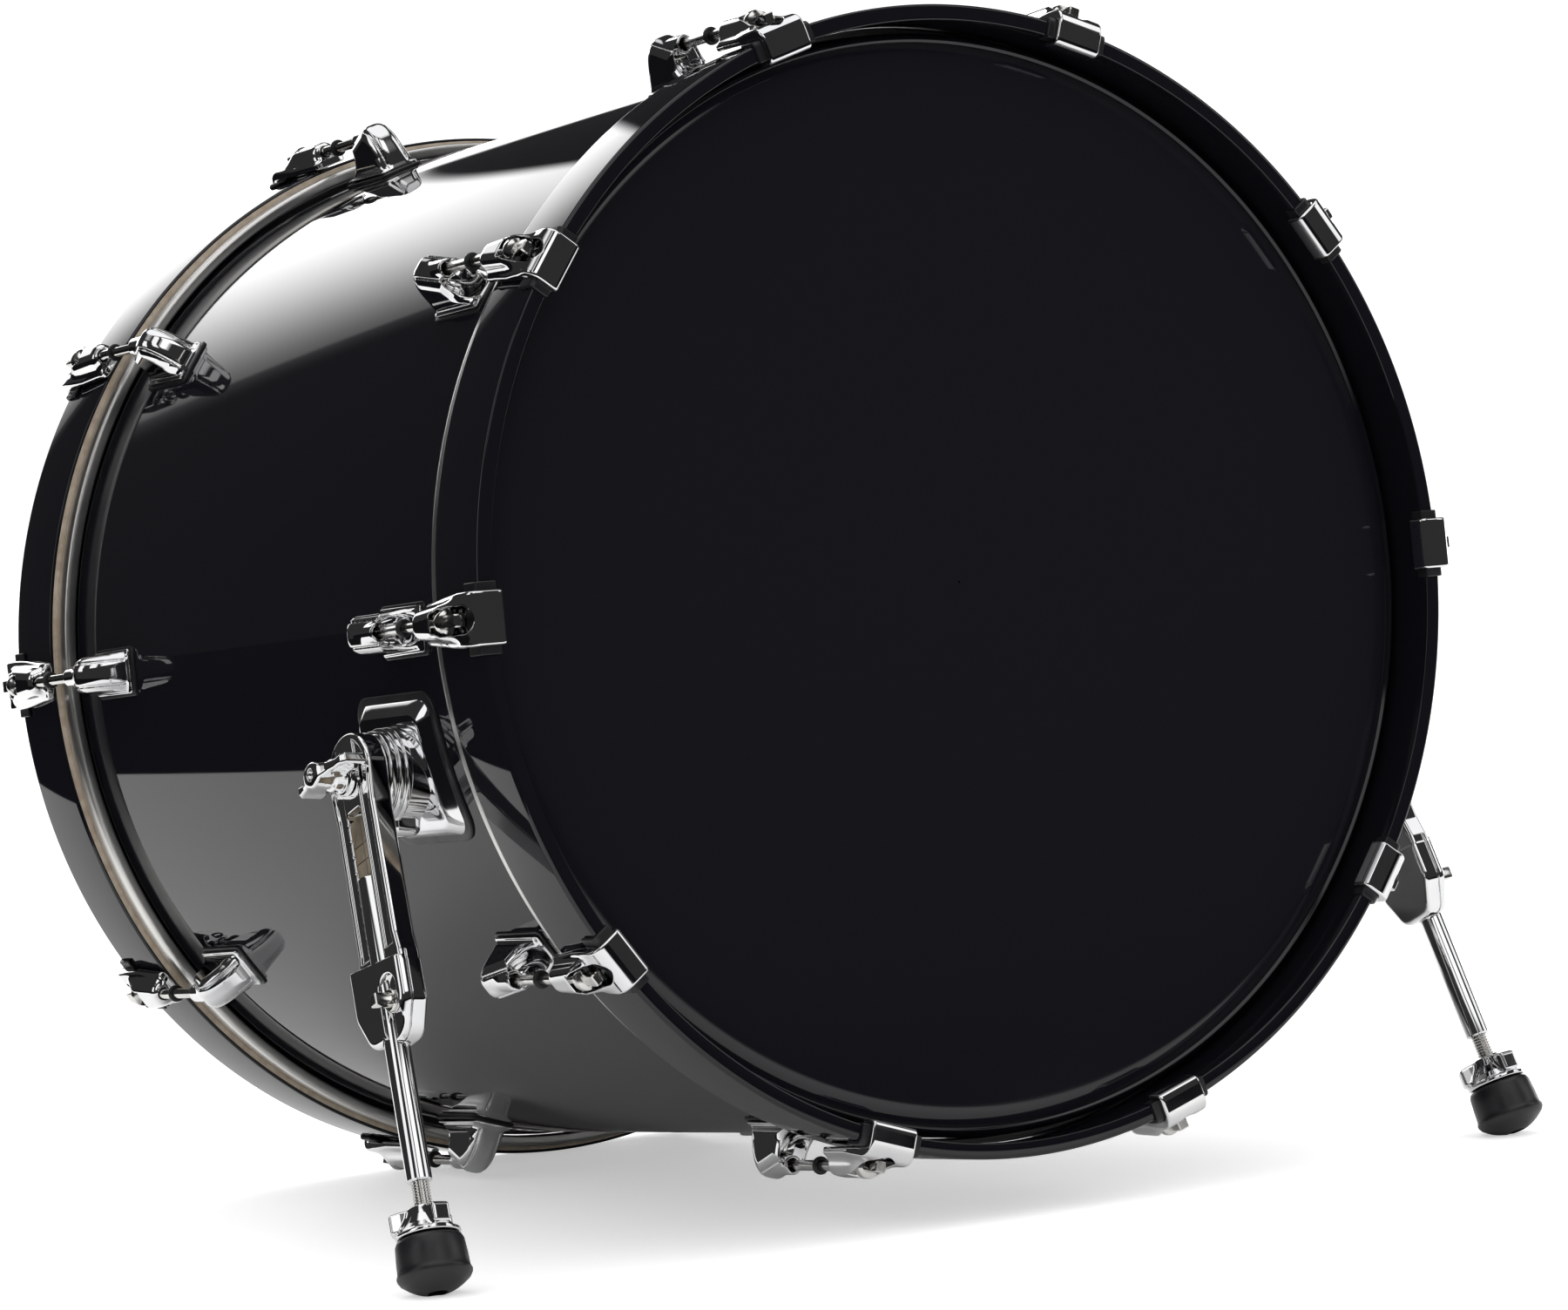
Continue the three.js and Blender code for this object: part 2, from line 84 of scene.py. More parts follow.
def drum_matrix():
    """The matrix from drum millimetres to the frame, from the shell's box and the batter hoop's face."""
    face = next(m for m in frame["record"]["mounts"] if m["name"] == "pedal_clamp_face")
    tilt = math.atan2(-face["axis"][2], face["axis"][1])
    low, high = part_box("shell")
    centre = (low + high) / 2
    return (
        Matrix.Translation(centre)
        @ Matrix.Rotation(-tilt, 4, "X")
        @ Matrix.Scale(MM, 4)
        @ Matrix.Translation((0, -LENGTH / 2, 0))
    )


DRUM = drum_matrix()


def at_angle(degrees):
    """Turns a piece drawn at the top of the drum round to an angle, towards +X."""
    return Matrix.Rotation(math.radians(degrees), 4, "Y")


# A half turn about the outward direction takes a front-end piece to the batter end.
TO_BATTER = Matrix.Translation((0, LENGTH, 0)) @ Matrix.Rotation(math.pi, 4, "Z")
MIRROR = Matrix.Diagonal((-1, 1, 1, 1))


# ---------------------------------------------------------------- mesh making
def loft(rings, close=False):
    """Vertices and faces through rings of equal length; the ends are capped, or joined if close is set."""
    rings = [np.asarray(r, float) for r in rings]
    count = len(rings[0])
    verts = np.concatenate(rings)
    faces = []
    last = len(rings) if close else len(rings) - 1
    for i in range(last):
        a = i * count
        b = ((i + 1) % len(rings)) * count
        for j in range(count):
            k = (j + 1) % count
            faces.append((a + j, a + k, b + k, b + j))
    if not close:
        faces.append(tuple(range(count))[::-1])
        faces.append(tuple(range((len(rings) - 1) * count, len(rings) * count)))
    return verts, faces


def turned(profile, segments):
    """A ring about Y from a closed profile of (radius, station) points, anticlockwise."""
    angles = np.linspace(0, 2 * np.pi, segments, endpoint=False)
    sine, cosine = np.sin(angles), np.cos(angles)
    return loft([np.stack([r * sine, np.full(segments, y), r * cosine], 1) for r, y in profile], close=True)


# The most of a neighbouring edge that a rounded corner may take.
CORNER_SHARE = 0.49


def rounded(corners, steps=4):
    """Corner points (x, y, radius) as an outline with each corner turned into an arc."""
    outline = []
    count = len(corners)
    for i, (x, y, radius) in enumerate(corners):
        here = np.array((x, y), float)
        if radius <= 0:
            outline.append(here)
            continue
        before = np.array(corners[i - 1][:2], float) - here
        after = np.array(corners[(i + 1) % count][:2], float) - here
        reach_before = np.linalg.norm(before)
        reach_after = np.linalg.norm(after)
        cosine = before @ after / (reach_before * reach_after)
        half = math.acos(max(-1, min(1, cosine))) / 2
        trim = min(radius / math.tan(half), CORNER_SHARE * reach_before, CORNER_SHARE * reach_after)
        start = here + before / reach_before * trim
        end = here + after / reach_after * trim
        for t in np.linspace(0, 1, steps + 1):
            outline.append((1 - t) ** 2 * start + 2 * t * (1 - t) * here + t**2 * end)
    return [tuple(p) for p in outline]


def mesh_of(name, verts, faces, matrix, angle, normals=None):
    """A mesh in metres in the frame, its shading broken at edges sharper than the angle in degrees."""
    data = bpy.data.meshes.new(name)
    whole = DRUM @ matrix
    rotation = np.array(whole.to_3x3())
    points = np.asarray(verts, float) @ rotation.T + np.array(whole.translation)
    if whole.determinant() < 0:
        faces = [tuple(reversed(f)) for f in faces]
    data.from_pydata([tuple(p) for p in points], [], [tuple(map(int, f)) for f in faces])
    data.validate()
    data.shade_smooth()
    data.set_sharp_from_angle(angle=math.radians(angle))
    if normals is not None:
        turned_normals = np.asarray(normals) @ rotation.T
        turned_normals /= np.linalg.norm(turned_normals, axis=1, keepdims=True)
        data.normals_split_custom_set_from_vertices([tuple(n) for n in turned_normals])
    data.update()
    return data


def piece(name, made, body, material, nodes, matrix=Matrix.Identity(4), angle=30):
    """One visible piece on a body, standing for the CAD nodes it is named with."""
    obj = bpy.data.objects.new(name, mesh_of(name, made[0], made[1], matrix, angle, *made[2:]))
    bpy.context.scene.collection.objects.link(obj)
    obj.data.materials.append(material)
    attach(obj, body)
    if nodes:
        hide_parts(*nodes)
    return obj


# ---------------------------------------------------------------- distance fields for cast pieces
# A field gives each point's distance to a surface, negative inside. Points are arrays of rows. In the
# combining functions below, edge is the radius left on an outer edge and blend the width of a fillet.
def block(p, centre, half, edge):
    """A box with rounded edges."""
    q = np.abs(p - np.array(centre)) - (np.array(half) - edge)
    return np.linalg.norm(np.maximum(q, 0), axis=1) + np.minimum(q.max(1), 0) - edge


def both(a, b, edge):
    """The part inside a and b, its edge rounded."""
    q = np.stack([a + edge, b + edge], 1)
    return np.linalg.norm(np.maximum(q, 0), axis=1) + np.minimum(q.max(1), 0) - edge


def join(a, b, blend):
    """Both bodies as one, with a fillet where they meet."""
    h = np.maximum(blend - np.abs(a - b), 0) / blend
    return np.minimum(a, b) - h * h * blend / 4


def cut(a, b, blend):
    """The first body without the second, its edge eased."""
    return -join(-a, b, blend)


def disc(p, centre, axis, radius, half, edge):
    """A cylinder along a coordinate axis."""
    q = p - np.array(centre)
    across = [i for i in range(3) if i != axis]
    return both(np.hypot(q[:, across[0]], q[:, across[1]]) - radius, np.abs(q[:, axis]) - half, edge)


def bowl(p, centre, radii):
    """An ellipsoid, near its surface."""
    q = (p - np.array(centre)) / np.array(radii)
    length = np.linalg.norm(q, axis=1)
    slope = np.linalg.norm(q / np.array(radii), axis=1)
    return length * (length - 1) / np.maximum(slope, 1e-6)


def outline_field(x, y, outline):
    """Distance to a closed outline in a plane."""
    points = np.array(outline)
    ends = np.roll(points, -1, axis=0)
    best = np.full(len(x), 1e9)
    inside = np.zeros(len(x), bool)
    for (ax, ay), (bx, by) in zip(points, ends):
        ex, ey = bx - ax, by - ay
        wx, wy = x - ax, y - ay
        t = np.clip((wx * ex + wy * ey) / max(ex * ex + ey * ey, 1e-12), 0, 1)
        best = np.minimum(best, (wx - ex * t) ** 2 + (wy - ey * t) ** 2)
        crosses = (ay > y) != (by > y)
        side = ax + (y - ay) * ex / (ey if abs(ey) > 1e-12 else 1e-12)
        inside ^= crosses & (x < side)
    distance = np.sqrt(best)
    return np.where(inside, -distance, distance)


def slope_of(field, points, step=0.02):
    """The field's gradient at each point."""
    gradient = np.zeros_like(points)
    for axis in range(3):
        shift = np.zeros(3)
        shift[axis] = step
        gradient[:, axis] = (field(points + shift) - field(points - shift)) / (2 * step)
    return gradient


# How often the net's points are moved onto the surface, and the squared slope below which they hold back.
SETTLE_ROUNDS = 4
POLISH_ROUNDS = 2
LEAST_SLOPE = 0.25


def net(field, low, high, cell):
    """Vertices, faces and normals of the surface where a field is zero, one quad net over a grid."""
    low = np.array(low, float)
    cell = np.array(cell, float) * np.ones(3)
    counts = np.ceil((np.array(high, float) - low) / cell).astype(int) + 1
    axes = [low[i] + cell[i] * np.arange(counts[i]) for i in range(3)]
    grid = np.stack(np.meshgrid(*axes, indexing="ij"), -1).reshape(-1, 3)
    value = field(grid).reshape(counts)
    inside = value < 0
    cells = counts - 1
    total = np.zeros((*cells, 3))
    hits = np.zeros(cells)
    for axis in range(3):
        others = [i for i in range(3) if i != axis]
        for first in (0, 1):
            for second in (0, 1):
                start = np.zeros(3, int)
                start[others[0]] = first
                start[others[1]] = second
                end = start.copy()
                end[axis] = 1
                a = value[tuple(slice(s, s + c) for s, c in zip(start, cells))]
                b = value[tuple(slice(s, s + c) for s, c in zip(end, cells))]
                crossing = (a < 0) != (b < 0)
                share = np.where(crossing, a / np.where(crossing, a - b, 1), 0)
                for i in range(3):
                    place = share if i == axis else float(start[i])
                    total[..., i] += crossing * place
                hits += crossing
    active = hits > 0
    index = np.full(cells, -1)
    index[active] = np.arange(active.sum())
    corner = np.stack(np.nonzero(active), 1)
    points = low + cell * (corner + total[active] / hits[active][:, None])
    quads = []
    for axis in range(3):
        b, c = (axis + 1) % 3, (axis + 2) % 3
        size = counts.copy()
        size[axis] -= 1
        near = inside[tuple(slice(0, n) for n in size)]
        shifted = [slice(0, n) for n in size]
        shifted[axis] = slice(1, size[axis] + 1)
        far = inside[tuple(shifted)]
        for flips, mask in ((False, near & ~far), (True, ~near & far)):
            place = np.stack(np.nonzero(mask), 1)
            keep = (place[:, b] > 0) & (place[:, c] > 0) & (place[:, b] < cells[b]) & (place[:, c] < cells[c])
            place = place[keep]
            ring = []
            for db, dc in ((0, 0), (-1, 0), (-1, -1), (0, -1)):
                cell_place = place.copy()
                cell_place[:, b] += db
                cell_place[:, c] += dc
                ring.append(index[tuple(cell_place.T)])
            quad = np.stack(ring, 1)
            quads.append(quad[:, ::-1] if flips else quad)
    for _ in range(SETTLE_ROUNDS):
        slope = slope_of(field, points)
        points = points - (field(points) / np.maximum((slope**2).sum(1), LEAST_SLOPE))[:, None] * slope
    reach = 0.5 * cell.min()
    for _ in range(POLISH_ROUNDS):
        points = points - np.clip(field(points), -reach, reach)[:, None] * slope_of(field, points, reach / 4)
    return points, np.concatenate(quads), slope_of(field, points, reach)


# ---------------------------------------------------------------- materials
def material(name, color, roughness, metallic=0.0):
    made = bpy.data.materials.new(name)
    made.use_nodes = True
    shader = made.node_tree.nodes["Principled BSDF"]
    shader.inputs["Base Color"].default_value = (*color, 1)
    shader.inputs["Metallic"].default_value = metallic
    shader.inputs["Roughness"].default_value = roughness
    return made


def pattern(made, kind, scale):
    """A procedural texture in object space, in features per metre."""
    nodes, links = made.node_tree.nodes, made.node_tree.links
    texture = nodes.new(kind)
    texture.inputs["Scale"].default_value = scale
    links.new(nodes.new("ShaderNodeTexCoord").outputs["Object"], texture.inputs["Vector"])
    return texture


def noise(made, scale, detail):
    texture = pattern(made, "ShaderNodeTexNoise", scale)
    texture.inputs["Detail"].default_value = detail
    return texture


# The share of a texture's range that a roughness and a colour ramp spread over.
ROUGHNESS_SPREAD = (0.3, 0.7)
COLOUR_SPREAD = (0.35, 0.65)


def vary(made, texture, low, high):
    """Drives the roughness between two values by a texture."""
    nodes, links = made.node_tree.nodes, made.node_tree.links
    spread = nodes.new("ShaderNodeMapRange")
    spread.inputs["From Min"].default_value, spread.inputs["From Max"].default_value = ROUGHNESS_SPREAD
    spread.inputs["To Min"].default_value = low
    spread.inputs["To Max"].default_value = high
    links.new(texture.outputs[0], spread.inputs["Value"])
    links.new(spread.outputs["Result"], nodes["Principled BSDF"].inputs["Roughness"])


def tint(made, texture, first, second):
    """Mixes the base colour between two colours by a texture."""
    nodes, links = made.node_tree.nodes, made.node_tree.links
    ramp = nodes.new("ShaderNodeValToRGB")
    for element, place, color in zip(ramp.color_ramp.elements, COLOUR_SPREAD, (first, second)):
        element.position = place
        element.color = (*color, 1)
    links.new(texture.outputs[0], ramp.inputs["Fac"])
    links.new(ramp.outputs["Color"], nodes["Principled BSDF"].inputs["Base Color"])


def emboss(made, texture, distance, strength):
    """Adds a bump of a real height in metres."""
    nodes, links = made.node_tree.nodes, made.node_tree.links
    bump = nodes.new("ShaderNodeBump")
    bump.inputs["Strength"].default_value = strength
    bump.inputs["Distance"].default_value = distance
    links.new(texture.outputs[0], bump.inputs["Height"])
    links.new(bump.outputs["Normal"], nodes["Principled BSDF"].inputs["Normal"])


def lacquer():
    """Black lacquer polished to a mirror, with a trace of orange peel."""
    made = material("black_lacquer", (0.005, 0.005, 0.007), roughness=0.03)
    vary(made, noise(made, 9, 4), 0.015, 0.05)
    emboss(made, noise(made, 130, 1), 0.000002, 0.35)
    return made


def film():
    """Black polyester film: smooth, a little softer than the lacquer."""
    made = material("black_film", (0.0072, 0.0068, 0.0095), roughness=0.1)
    vary(made, noise(made, 6, 3), 0.06, 0.11)
    emboss(made, noise(made, 900, 2), 0.000004, 0.25)
    return made


def coated_film():
    """White sprayed coating of the batter head, with a fine pebble grain."""
    made = material("coated_film", (0.5, 0.5, 0.49), roughness=0.55)
    tint(made, noise(made, 14, 5), (0.47, 0.47, 0.46), (0.53, 0.53, 0.52))
    vary(made, noise(made, 40, 3), 0.5, 0.64)
    emboss(made, pattern(made, "ShaderNodeTexVoronoi", 1100), 0.00004, 0.5)
    return made


def chrome():
    """Polished chrome with a faint haze from handling."""
    made = material("chrome", (0.86, 0.87, 0.88), roughness=0.04, metallic=1.0)
    vary(made, noise(made, 55, 4), 0.02, 0.075)
    tint(made, noise(made, 25, 2), (0.82, 0.825, 0.84), (0.9, 0.9, 0.9))
    emboss(made, noise(made, 160, 1), 0.000003, 0.2)
    return made


def steel():
    """Drawn steel rod, rougher than the castings, with a fine grain."""
    made = material("drawn_steel", (0.74, 0.73, 0.71), roughness=0.14, metallic=1.0)
    vary(made, noise(made, 400, 2), 0.1, 0.2)
    emboss(made, noise(made, 1200, 1), 0.000002, 0.2)
    return made


def window_brown():
    """Brown matt colour behind the spur arm's window."""
    made = material("brown_behind_window", (0.2, 0.16, 0.105), roughness=0.45)
    tint(made, noise(made, 90, 3), (0.14, 0.11, 0.07), (0.27, 0.22, 0.15))
    return made


def rail():
    """Satin aluminium of the flesh hoops."""
    made = material("flesh_hoop_alloy", (0.8, 0.79, 0.77), roughness=0.32, metallic=1.0)
    vary(made, noise(made, 30, 3), 0.28, 0.36)
    emboss(made, noise(made, 700, 1), 0.000002, 0.2)
    return made


def rubber():
    """Moulded black rubber: matt, finely grained."""
    made = material("black_rubber", (0.009, 0.009, 0.0105), roughness=0.4)
    vary(made, noise(made, 120, 4), 0.3, 0.44)
    tint(made, noise(made, 60, 4), (0.007, 0.007, 0.009), (0.011, 0.011, 0.0125))
    emboss(made, noise(made, 2200, 3), 0.00003, 0.5)
    return made


def ply():
    """Bare birch on the cut face of the hoop, mottled across its plies."""
    made = material("bare_ply", (0.42, 0.35, 0.28), roughness=0.6)
    tint(made, noise(made, 160, 6), (0.36, 0.29, 0.22), (0.48, 0.41, 0.33))
    emboss(made, noise(made, 900, 3), 0.00005, 0.5)
    return made


LACQUER = lacquer()
FILM = film()
COATED = coated_film()
CHROME = chrome()
STEEL = steel()
RAIL = rail()
WINDOW_BROWN = window_brown()
RUBBER = rubber()
PLY = ply()


# ---------------------------------------------------------------- shell, hoops and heads
RING_STEPS = 288


def shell():
    edge = HEAD_RECESS + 0.3
    inner = SHELL_R - SHELL_WALL
    bevel = BEARING_BEVEL
    front = [(inner, edge + bevel, 0.8), (inner + bevel, edge, 0.5), (SHELL_R, edge + 2, 0.8)]
    back = [(r, LENGTH - y, c) for r, y, c in front][::-1]
    return turned(rounded(front + back), 256)


def hoop():
    inner = HOOP_R - HOOP_WALL
    return turned(rounded([
        (inner, 0, 1.2), (HOOP_R, 0, 2.2), (HOOP_R, HOOP_DEPTH, 1.6), (inner, HOOP_DEPTH, 1.0),
    ], 6), RING_STEPS)


def hoop_ply():
    """The unlacquered band on the hoop's shell-side face."""
    inner, outer = HOOP_R - HOOP_WALL + 1.1, HOOP_R - 1.7
    proud = HOOP_DEPTH + 0.12
    return turned([(inner, HOOP_DEPTH), (outer, HOOP_DEPTH), (outer, proud), (inner, proud)], RING_STEPS)


def head():
    """Film stretched over the bearing edge, with a soft collar, and its skirt down to the flesh hoop."""
    crest = SHELL_R - SHELL_WALL + BEARING_BEVEL
    outer = FLESH_INNER - 0.4
    face_y = HEAD_RECESS - HEAD_FILM
    skirt_end = 48.0
    collar, drop, steps = 14, 6.2, 8
    film_back = np.array((-0.35, 0.45))
    face = [(0.5, face_y), (120, face_y), (crest - collar, face_y)]
    for i in range(1, steps + 1):
        t = i / steps
        face.append((crest - collar + t * (outer - crest + collar), face_y + drop * t**3))
    skirt = [(outer, skirt_end), (outer - HEAD_FILM, skirt_end)]
    back = [tuple(np.array(point) + film_back) for point in face[:2:-1]]
    return turned(face + skirt + back + [(0.5, HEAD_RECESS)], RING_STEPS)


def flesh_hoop():
    start = HOOP_DEPTH + 0.3
    end = start + FLESH_DEPTH
    return turned(rounded([
        (FLESH_INNER, start, 1.5), (FLESH_OUTER, start, 2.6),
        (FLESH_OUTER, end, 2.6), (FLESH_INNER, end, 1.5),
    ], 6), RING_STEPS)


def drum_body():
    piece("drum_shell", shell(), "drum", LACQUER, ("shell",), angle=40)
    for end, place, film_look, slot in (
        ("front", Matrix.Identity(4), FILM, "black_film"),
        ("batter", TO_BATTER, COATED, "coated_film"),
    ):
        piece(f"{end}_hoop_wood", hoop(), "drum", LACQUER, (f"{end}_hoop",), place, 45)
        piece(f"{end}_hoop_bare_edge", hoop_ply(), "drum", PLY, (), place)
        piece(f"{end}_head_film", head(), "drum", film_look, (f"{end}_head",), place, 50)
        ring_node = (f"{end}_flesh_hoop",)
        piece(f"{end}_flesh_hoop_ring", flesh_hoop(), "drum", RAIL, ring_node, place, 45)


# ---------------------------------------------------------------- lugs
LUG_END = 118.5
LUG_CROWN = 104
LUG_MOUTH = 76.6
LUG_TOP = 308.0
LUG_FOOT = 280.4
FLANGE_TOP = 282.2


def lug_side():
    """The lug seen from the side: a quarter-round back, a flat crown and a lip swept out at the foot."""
    reach, rise = LUG_END - LUG_CROWN, LUG_TOP - LUG_FOOT
    tail = [(LUG_CROWN + reach * math.cos(a), LUG_FOOT + rise * math.sin(a))
            for a in np.linspace(0, math.pi / 2, 30)]
    mouth = rounded([
        (86.4, LUG_TOP, 1.6), (85.0, 290, 12), (79.0, 283.4, 5),
        (LUG_MOUTH, 282, 1.0), (LUG_MOUTH, LUG_FOOT, 0.3),
    ], 10)
    return tail + mouth


LUG_SIDE = lug_side()
# Half the casting's width at its levels, from the foot up.
LUG_LEVELS = (LUG_FOOT, 282.0, 285.0, 290.0, 296.0, 303.0, LUG_TOP)
LUG_HALVES = (12.3, 12.1, 11.3, 10.4, 9.9, 9.5, 9.3)
# The receiver is a deep bowl and a broad shallow one in front of it, each a centre and three radii.
LUG_BOWL = ((0, 82.5, 294.0), (7.9, 14, 10.5))
LUG_APRON = ((0, 77.5, 288.5), (10.4, 11, 5.6))


def lug_field(p):
    """Cast lug: a crowned box on a flange, two lines along its back, the receiver and the rod's insert."""
    x, y, z = p.T
    aside = np.abs(x)
    side = outline_field(y, z, LUG_SIDE)
    body = both(side, aside - np.interp(z, LUG_LEVELS, LUG_HALVES), 7.6)
    flange = both(both(side, aside - LUG_HALVES[0], 2.0), z - FLANGE_TOP, 0.8)
    body = join(body, flange, 2.2)
    line_x, line_half, line_depth = 6.4, 0.5, 0.7
    line_end = np.maximum(284.5 - z, 86 - y)
    line = both(np.abs(aside - line_x) - line_half, np.maximum(-(body + line_depth), line_end), 0.2)
    body = cut(body, line, 0.6)
    body = cut(body, join(bowl(p, *LUG_BOWL), bowl(p, *LUG_APRON), 3), 1.6)
    insert = disc(p, (0, 94.5, ROD_R), 1, 5.1, 9.0, 0.9)
    bore = disc(p, (0, 90, ROD_R), 1, 3.4, 8.0, 0.3)
    return cut(join(body, insert, 1.2), bore, 0.5)


# ---------------------------------------------------------------- claws
# The claw seen from the side: its nose towards the lug, its hook round the hoop's outer face.
CLAW_NOSE = 44.5
CLAW_TOP = 306.5
PLATE_TOP = 296.5
HUMP_FOOT = 293.6
HUMP_START = 1.5
FRONT_TOP = 300.2
HOOK_TIP = 279.6
LIP_END = 6.5
CLAW_FRONT = -4.6
LINER = 1.3


def claw_hook_side():
    under = HOOP_R + 0.2 + LINER
    behind = -0.3 - LINER
    lip = HOOP_R - HOOP_WALL - 0.1 - LINER
    return rounded([
        (CLAW_NOSE, under, 0), (CLAW_NOSE, PLATE_TOP, 0.6), (22, PLATE_TOP + 0.6, 6),
        (CLAW_FRONT, FRONT_TOP, 9.0), (CLAW_FRONT, HOOK_TIP, 4.2), (LIP_END, HOOK_TIP, 1.0),
        (LIP_END, lip, 0.8), (behind, lip, 0.8), (behind, under, 3.0),
    ], 12)


def claw_hump_side():
    return rounded([
        (CLAW_NOSE, HUMP_FOOT, 0), (CLAW_NOSE, CLAW_TOP, 5.0), (KEY_MIDDLE + 1, CLAW_TOP, 6),
        (HUMP_START, PLATE_TOP - 1, 5), (HUMP_START, HUMP_FOOT, 0),
    ], 10)


# The pocket round the key head ends where the rod's collar sits.
KEY_MIDDLE = 17.5
KEY_POCKET = 6.7
HOOK_SIDE = claw_hook_side()
HUMP_SIDE = claw_hump_side()
# Half the plate's width, and of the hump's crest, at stations from the front.
FLARE_Y = (-5.0, 6.0, 10.0, 14.0, 18.0, 22.0, 26.0, 30.0, 36.0, 45.0)
FLARE = (13.25, 13.25, 13.2, 13.05, 12.8, 12.45, 11.9, 11.35, 10.6, 9.8)
CREST_Y = (2, 18, 44)
CREST = (9.6, 7.9, 5.8)
HUMP_LEAN = 0.26


def claw_field(p):
    """Claw hook: a flared plate bent over the hoop, with a hump that holds the key head's pocket."""
    x, y, z = p.T
    aside = np.abs(x)
    plate = both(outline_field(y, z, HOOK_SIDE), aside - np.interp(y, FLARE_Y, FLARE), 1.3)
    flank = aside - np.interp(y, CREST_Y, CREST) - HUMP_LEAN * (CLAW_TOP - z)
    hump = both(outline_field(y, z, HUMP_SIDE), flank / math.hypot(1, HUMP_LEAN), 4.2)
    body = join(plate, hump, 4.0)
    front = CLAW_FRONT + 2.4 + KEY_POCKET
    beyond = np.maximum(np.abs(y - (front + KEY_MIDDLE) / 2) - (KEY_MIDDLE - front) / 2, 0)
    pocket = both(np.hypot(x, beyond) - KEY_POCKET, 290 - z, 0.3)
    seat = disc(p, (0, KEY_MIDDLE, ROD_R), 1, 6.9, 8.0, 0.5)
    bore = disc(p, (0, 44, ROD_R), 1, 3.3, 12, 0.3)
    return cut(cut(cut(body, pocket, 0.7), seat, 0.7), bore, 0.5)


def liner_side():
    """Rubber between the hook and the hoop, seen from the side."""
    end, lip_end = 11, LIP_END + 0.4
    outer, inner = HOOP_R + 0.15, HOOP_R - HOOP_WALL
    front, back = -0.25 - LINER, -0.2
    return rounded([
        (end, outer, 0.4), (end, outer + LINER, 0.5), (front, outer + LINER, 3.4),
        (front, inner - 0.05 - LINER, 1.0), (lip_end, inner - 0.05 - LINER, 0.3),
        (lip_end, inner - 0.1, 0.3), (back, inner - 0.1, 0.4), (back, outer, 2.2),
    ], 6)


def slab(outline, half, edge=0.4):
    """An outline in the (y, z) plane as a slab across x, with its edges eased."""
    outline = np.array(outline)
    toward = outline.mean(0) - outline
    toward /= np.linalg.norm(toward, axis=1, keepdims=True)
    rings = []
    for x, inset in ((-half, edge), (-half + edge, 0), (half - edge, 0), (half, edge)):
        rings.append(np.column_stack([np.full(len(outline), x), outline + toward * inset]))
    verts, faces = loft(rings)
    ahead = np.roll(outline, -1, axis=0)
    area = np.sum(outline[:, 0] * ahead[:, 1] - outline[:, 1] * ahead[:, 0]) / 2
    return (verts, faces) if area < 0 else (verts, [f[::-1] for f in faces])


# How far a square head's corners reach, against half its width, once they are rounded.
SQUARE_CORNER = 1.36


def spun(profile, segments=40, z=ROD_R):
    """A rod-like body along y from (radius, station[, squareness]) points, anticlockwise from its low end."""
    angles = np.linspace(0, 2 * np.pi, segments, endpoint=False)
    c, s = np.cos(angles), np.sin(angles)
    corner = np.minimum(1 / np.maximum(np.abs(c), np.abs(s)), SQUARE_CORNER)
    rings = []
    for radius, y, *squareness in profile:
        square = squareness[0] if squareness else 0
        reach = radius * ((1 - square) + square * corner)
        rings.append(np.column_stack([reach * s, np.full(segments, y), z + reach * c]))
    return loft(rings)


def tension_rod():
    """Key head, domed collar and shank, from the key's square end to the end in the lug."""
    return spun([
        (2.5, 4.0, 1), (3.15, 4.6, 1), (3.15, 13.6, 1), (3.3, 14.2, 0.4), (4.6, 14.4, 0), (6.0, 15.0, 0),
        (6.3, 16.0, 0), (6.3, 18.2, 0), (6.0, 19.0, 0), (3.4, 19.4, 0), (2.75, 20.0, 0), (2.75, 99.0, 0),
        (2.2, 100.0, 0),
    ])


def washer():
    """Black washer on the rod, between the claw and the lug."""
    inner, outer, start, end = 2.85, 4.7, 58.6, 60.9
    section = rounded([(inner, start, 0.2), (outer, start, 0.9), (outer, end, 0.9), (inner, end, 0.2)], 4)
    return spun(section + section[:1], 32)


def pad_outline(width, length, corner):
    """A rectangle with round corners, its long edges divided so that they can bend round the shell."""
    a, b = width / 2 - corner, length / 2 - corner
    points = []
    for cx, cy, start in ((a, b, 0), (-a, b, 90), (-a, -b, 180), (a, -b, 270)):
        for t in np.linspace(0, 90, 9):
            angle = math.radians(start + t)
            points.append((cx + corner * math.cos(angle), cy + corner * math.sin(angle)))
    longest = 6
    dense = []
    for (x0, y0), (x1, y1) in zip(points, points[1:] + points[:1]):
        parts = max(1, int(math.hypot(x1 - x0, y1 - y0) / longest))
        for k in range(parts):
            dense.append((x0 + (x1 - x0) * k / parts, y0 + (y1 - y0) * k / parts))
    return np.array(dense)


def pad(width, length, corner, layers):
    """A rounded-corner plate lying on the shell: layers are (height, inset) from the shell up."""
    def bent(flat, height):
        angle = flat[:, 0] / SHELL_R
        reach = SHELL_R + height
        return np.column_stack([reach * np.sin(angle), flat[:, 1], reach * np.cos(angle)])

    def layer(inset):
        return base * np.array([(width / 2 - inset) / (width / 2), (length / 2 - inset) / (length / 2)])

    base = pad_outline(width, length, corner)
    rings_in = 6
    rings = [bent(base * share, layers[0][0]) for share in np.linspace(0.15, 1, rings_in)]
    rings += [bent(layer(inset), height) for height, inset in layers[1:]]
    top, inset = layers[-1]
    rings += [bent(layer(inset) * share, top) for share in np.linspace(0.9, 0.1, rings_in)]
    return loft(rings)


# The shading angle of a casting whose net brings its own normals.
UNBROKEN = 180


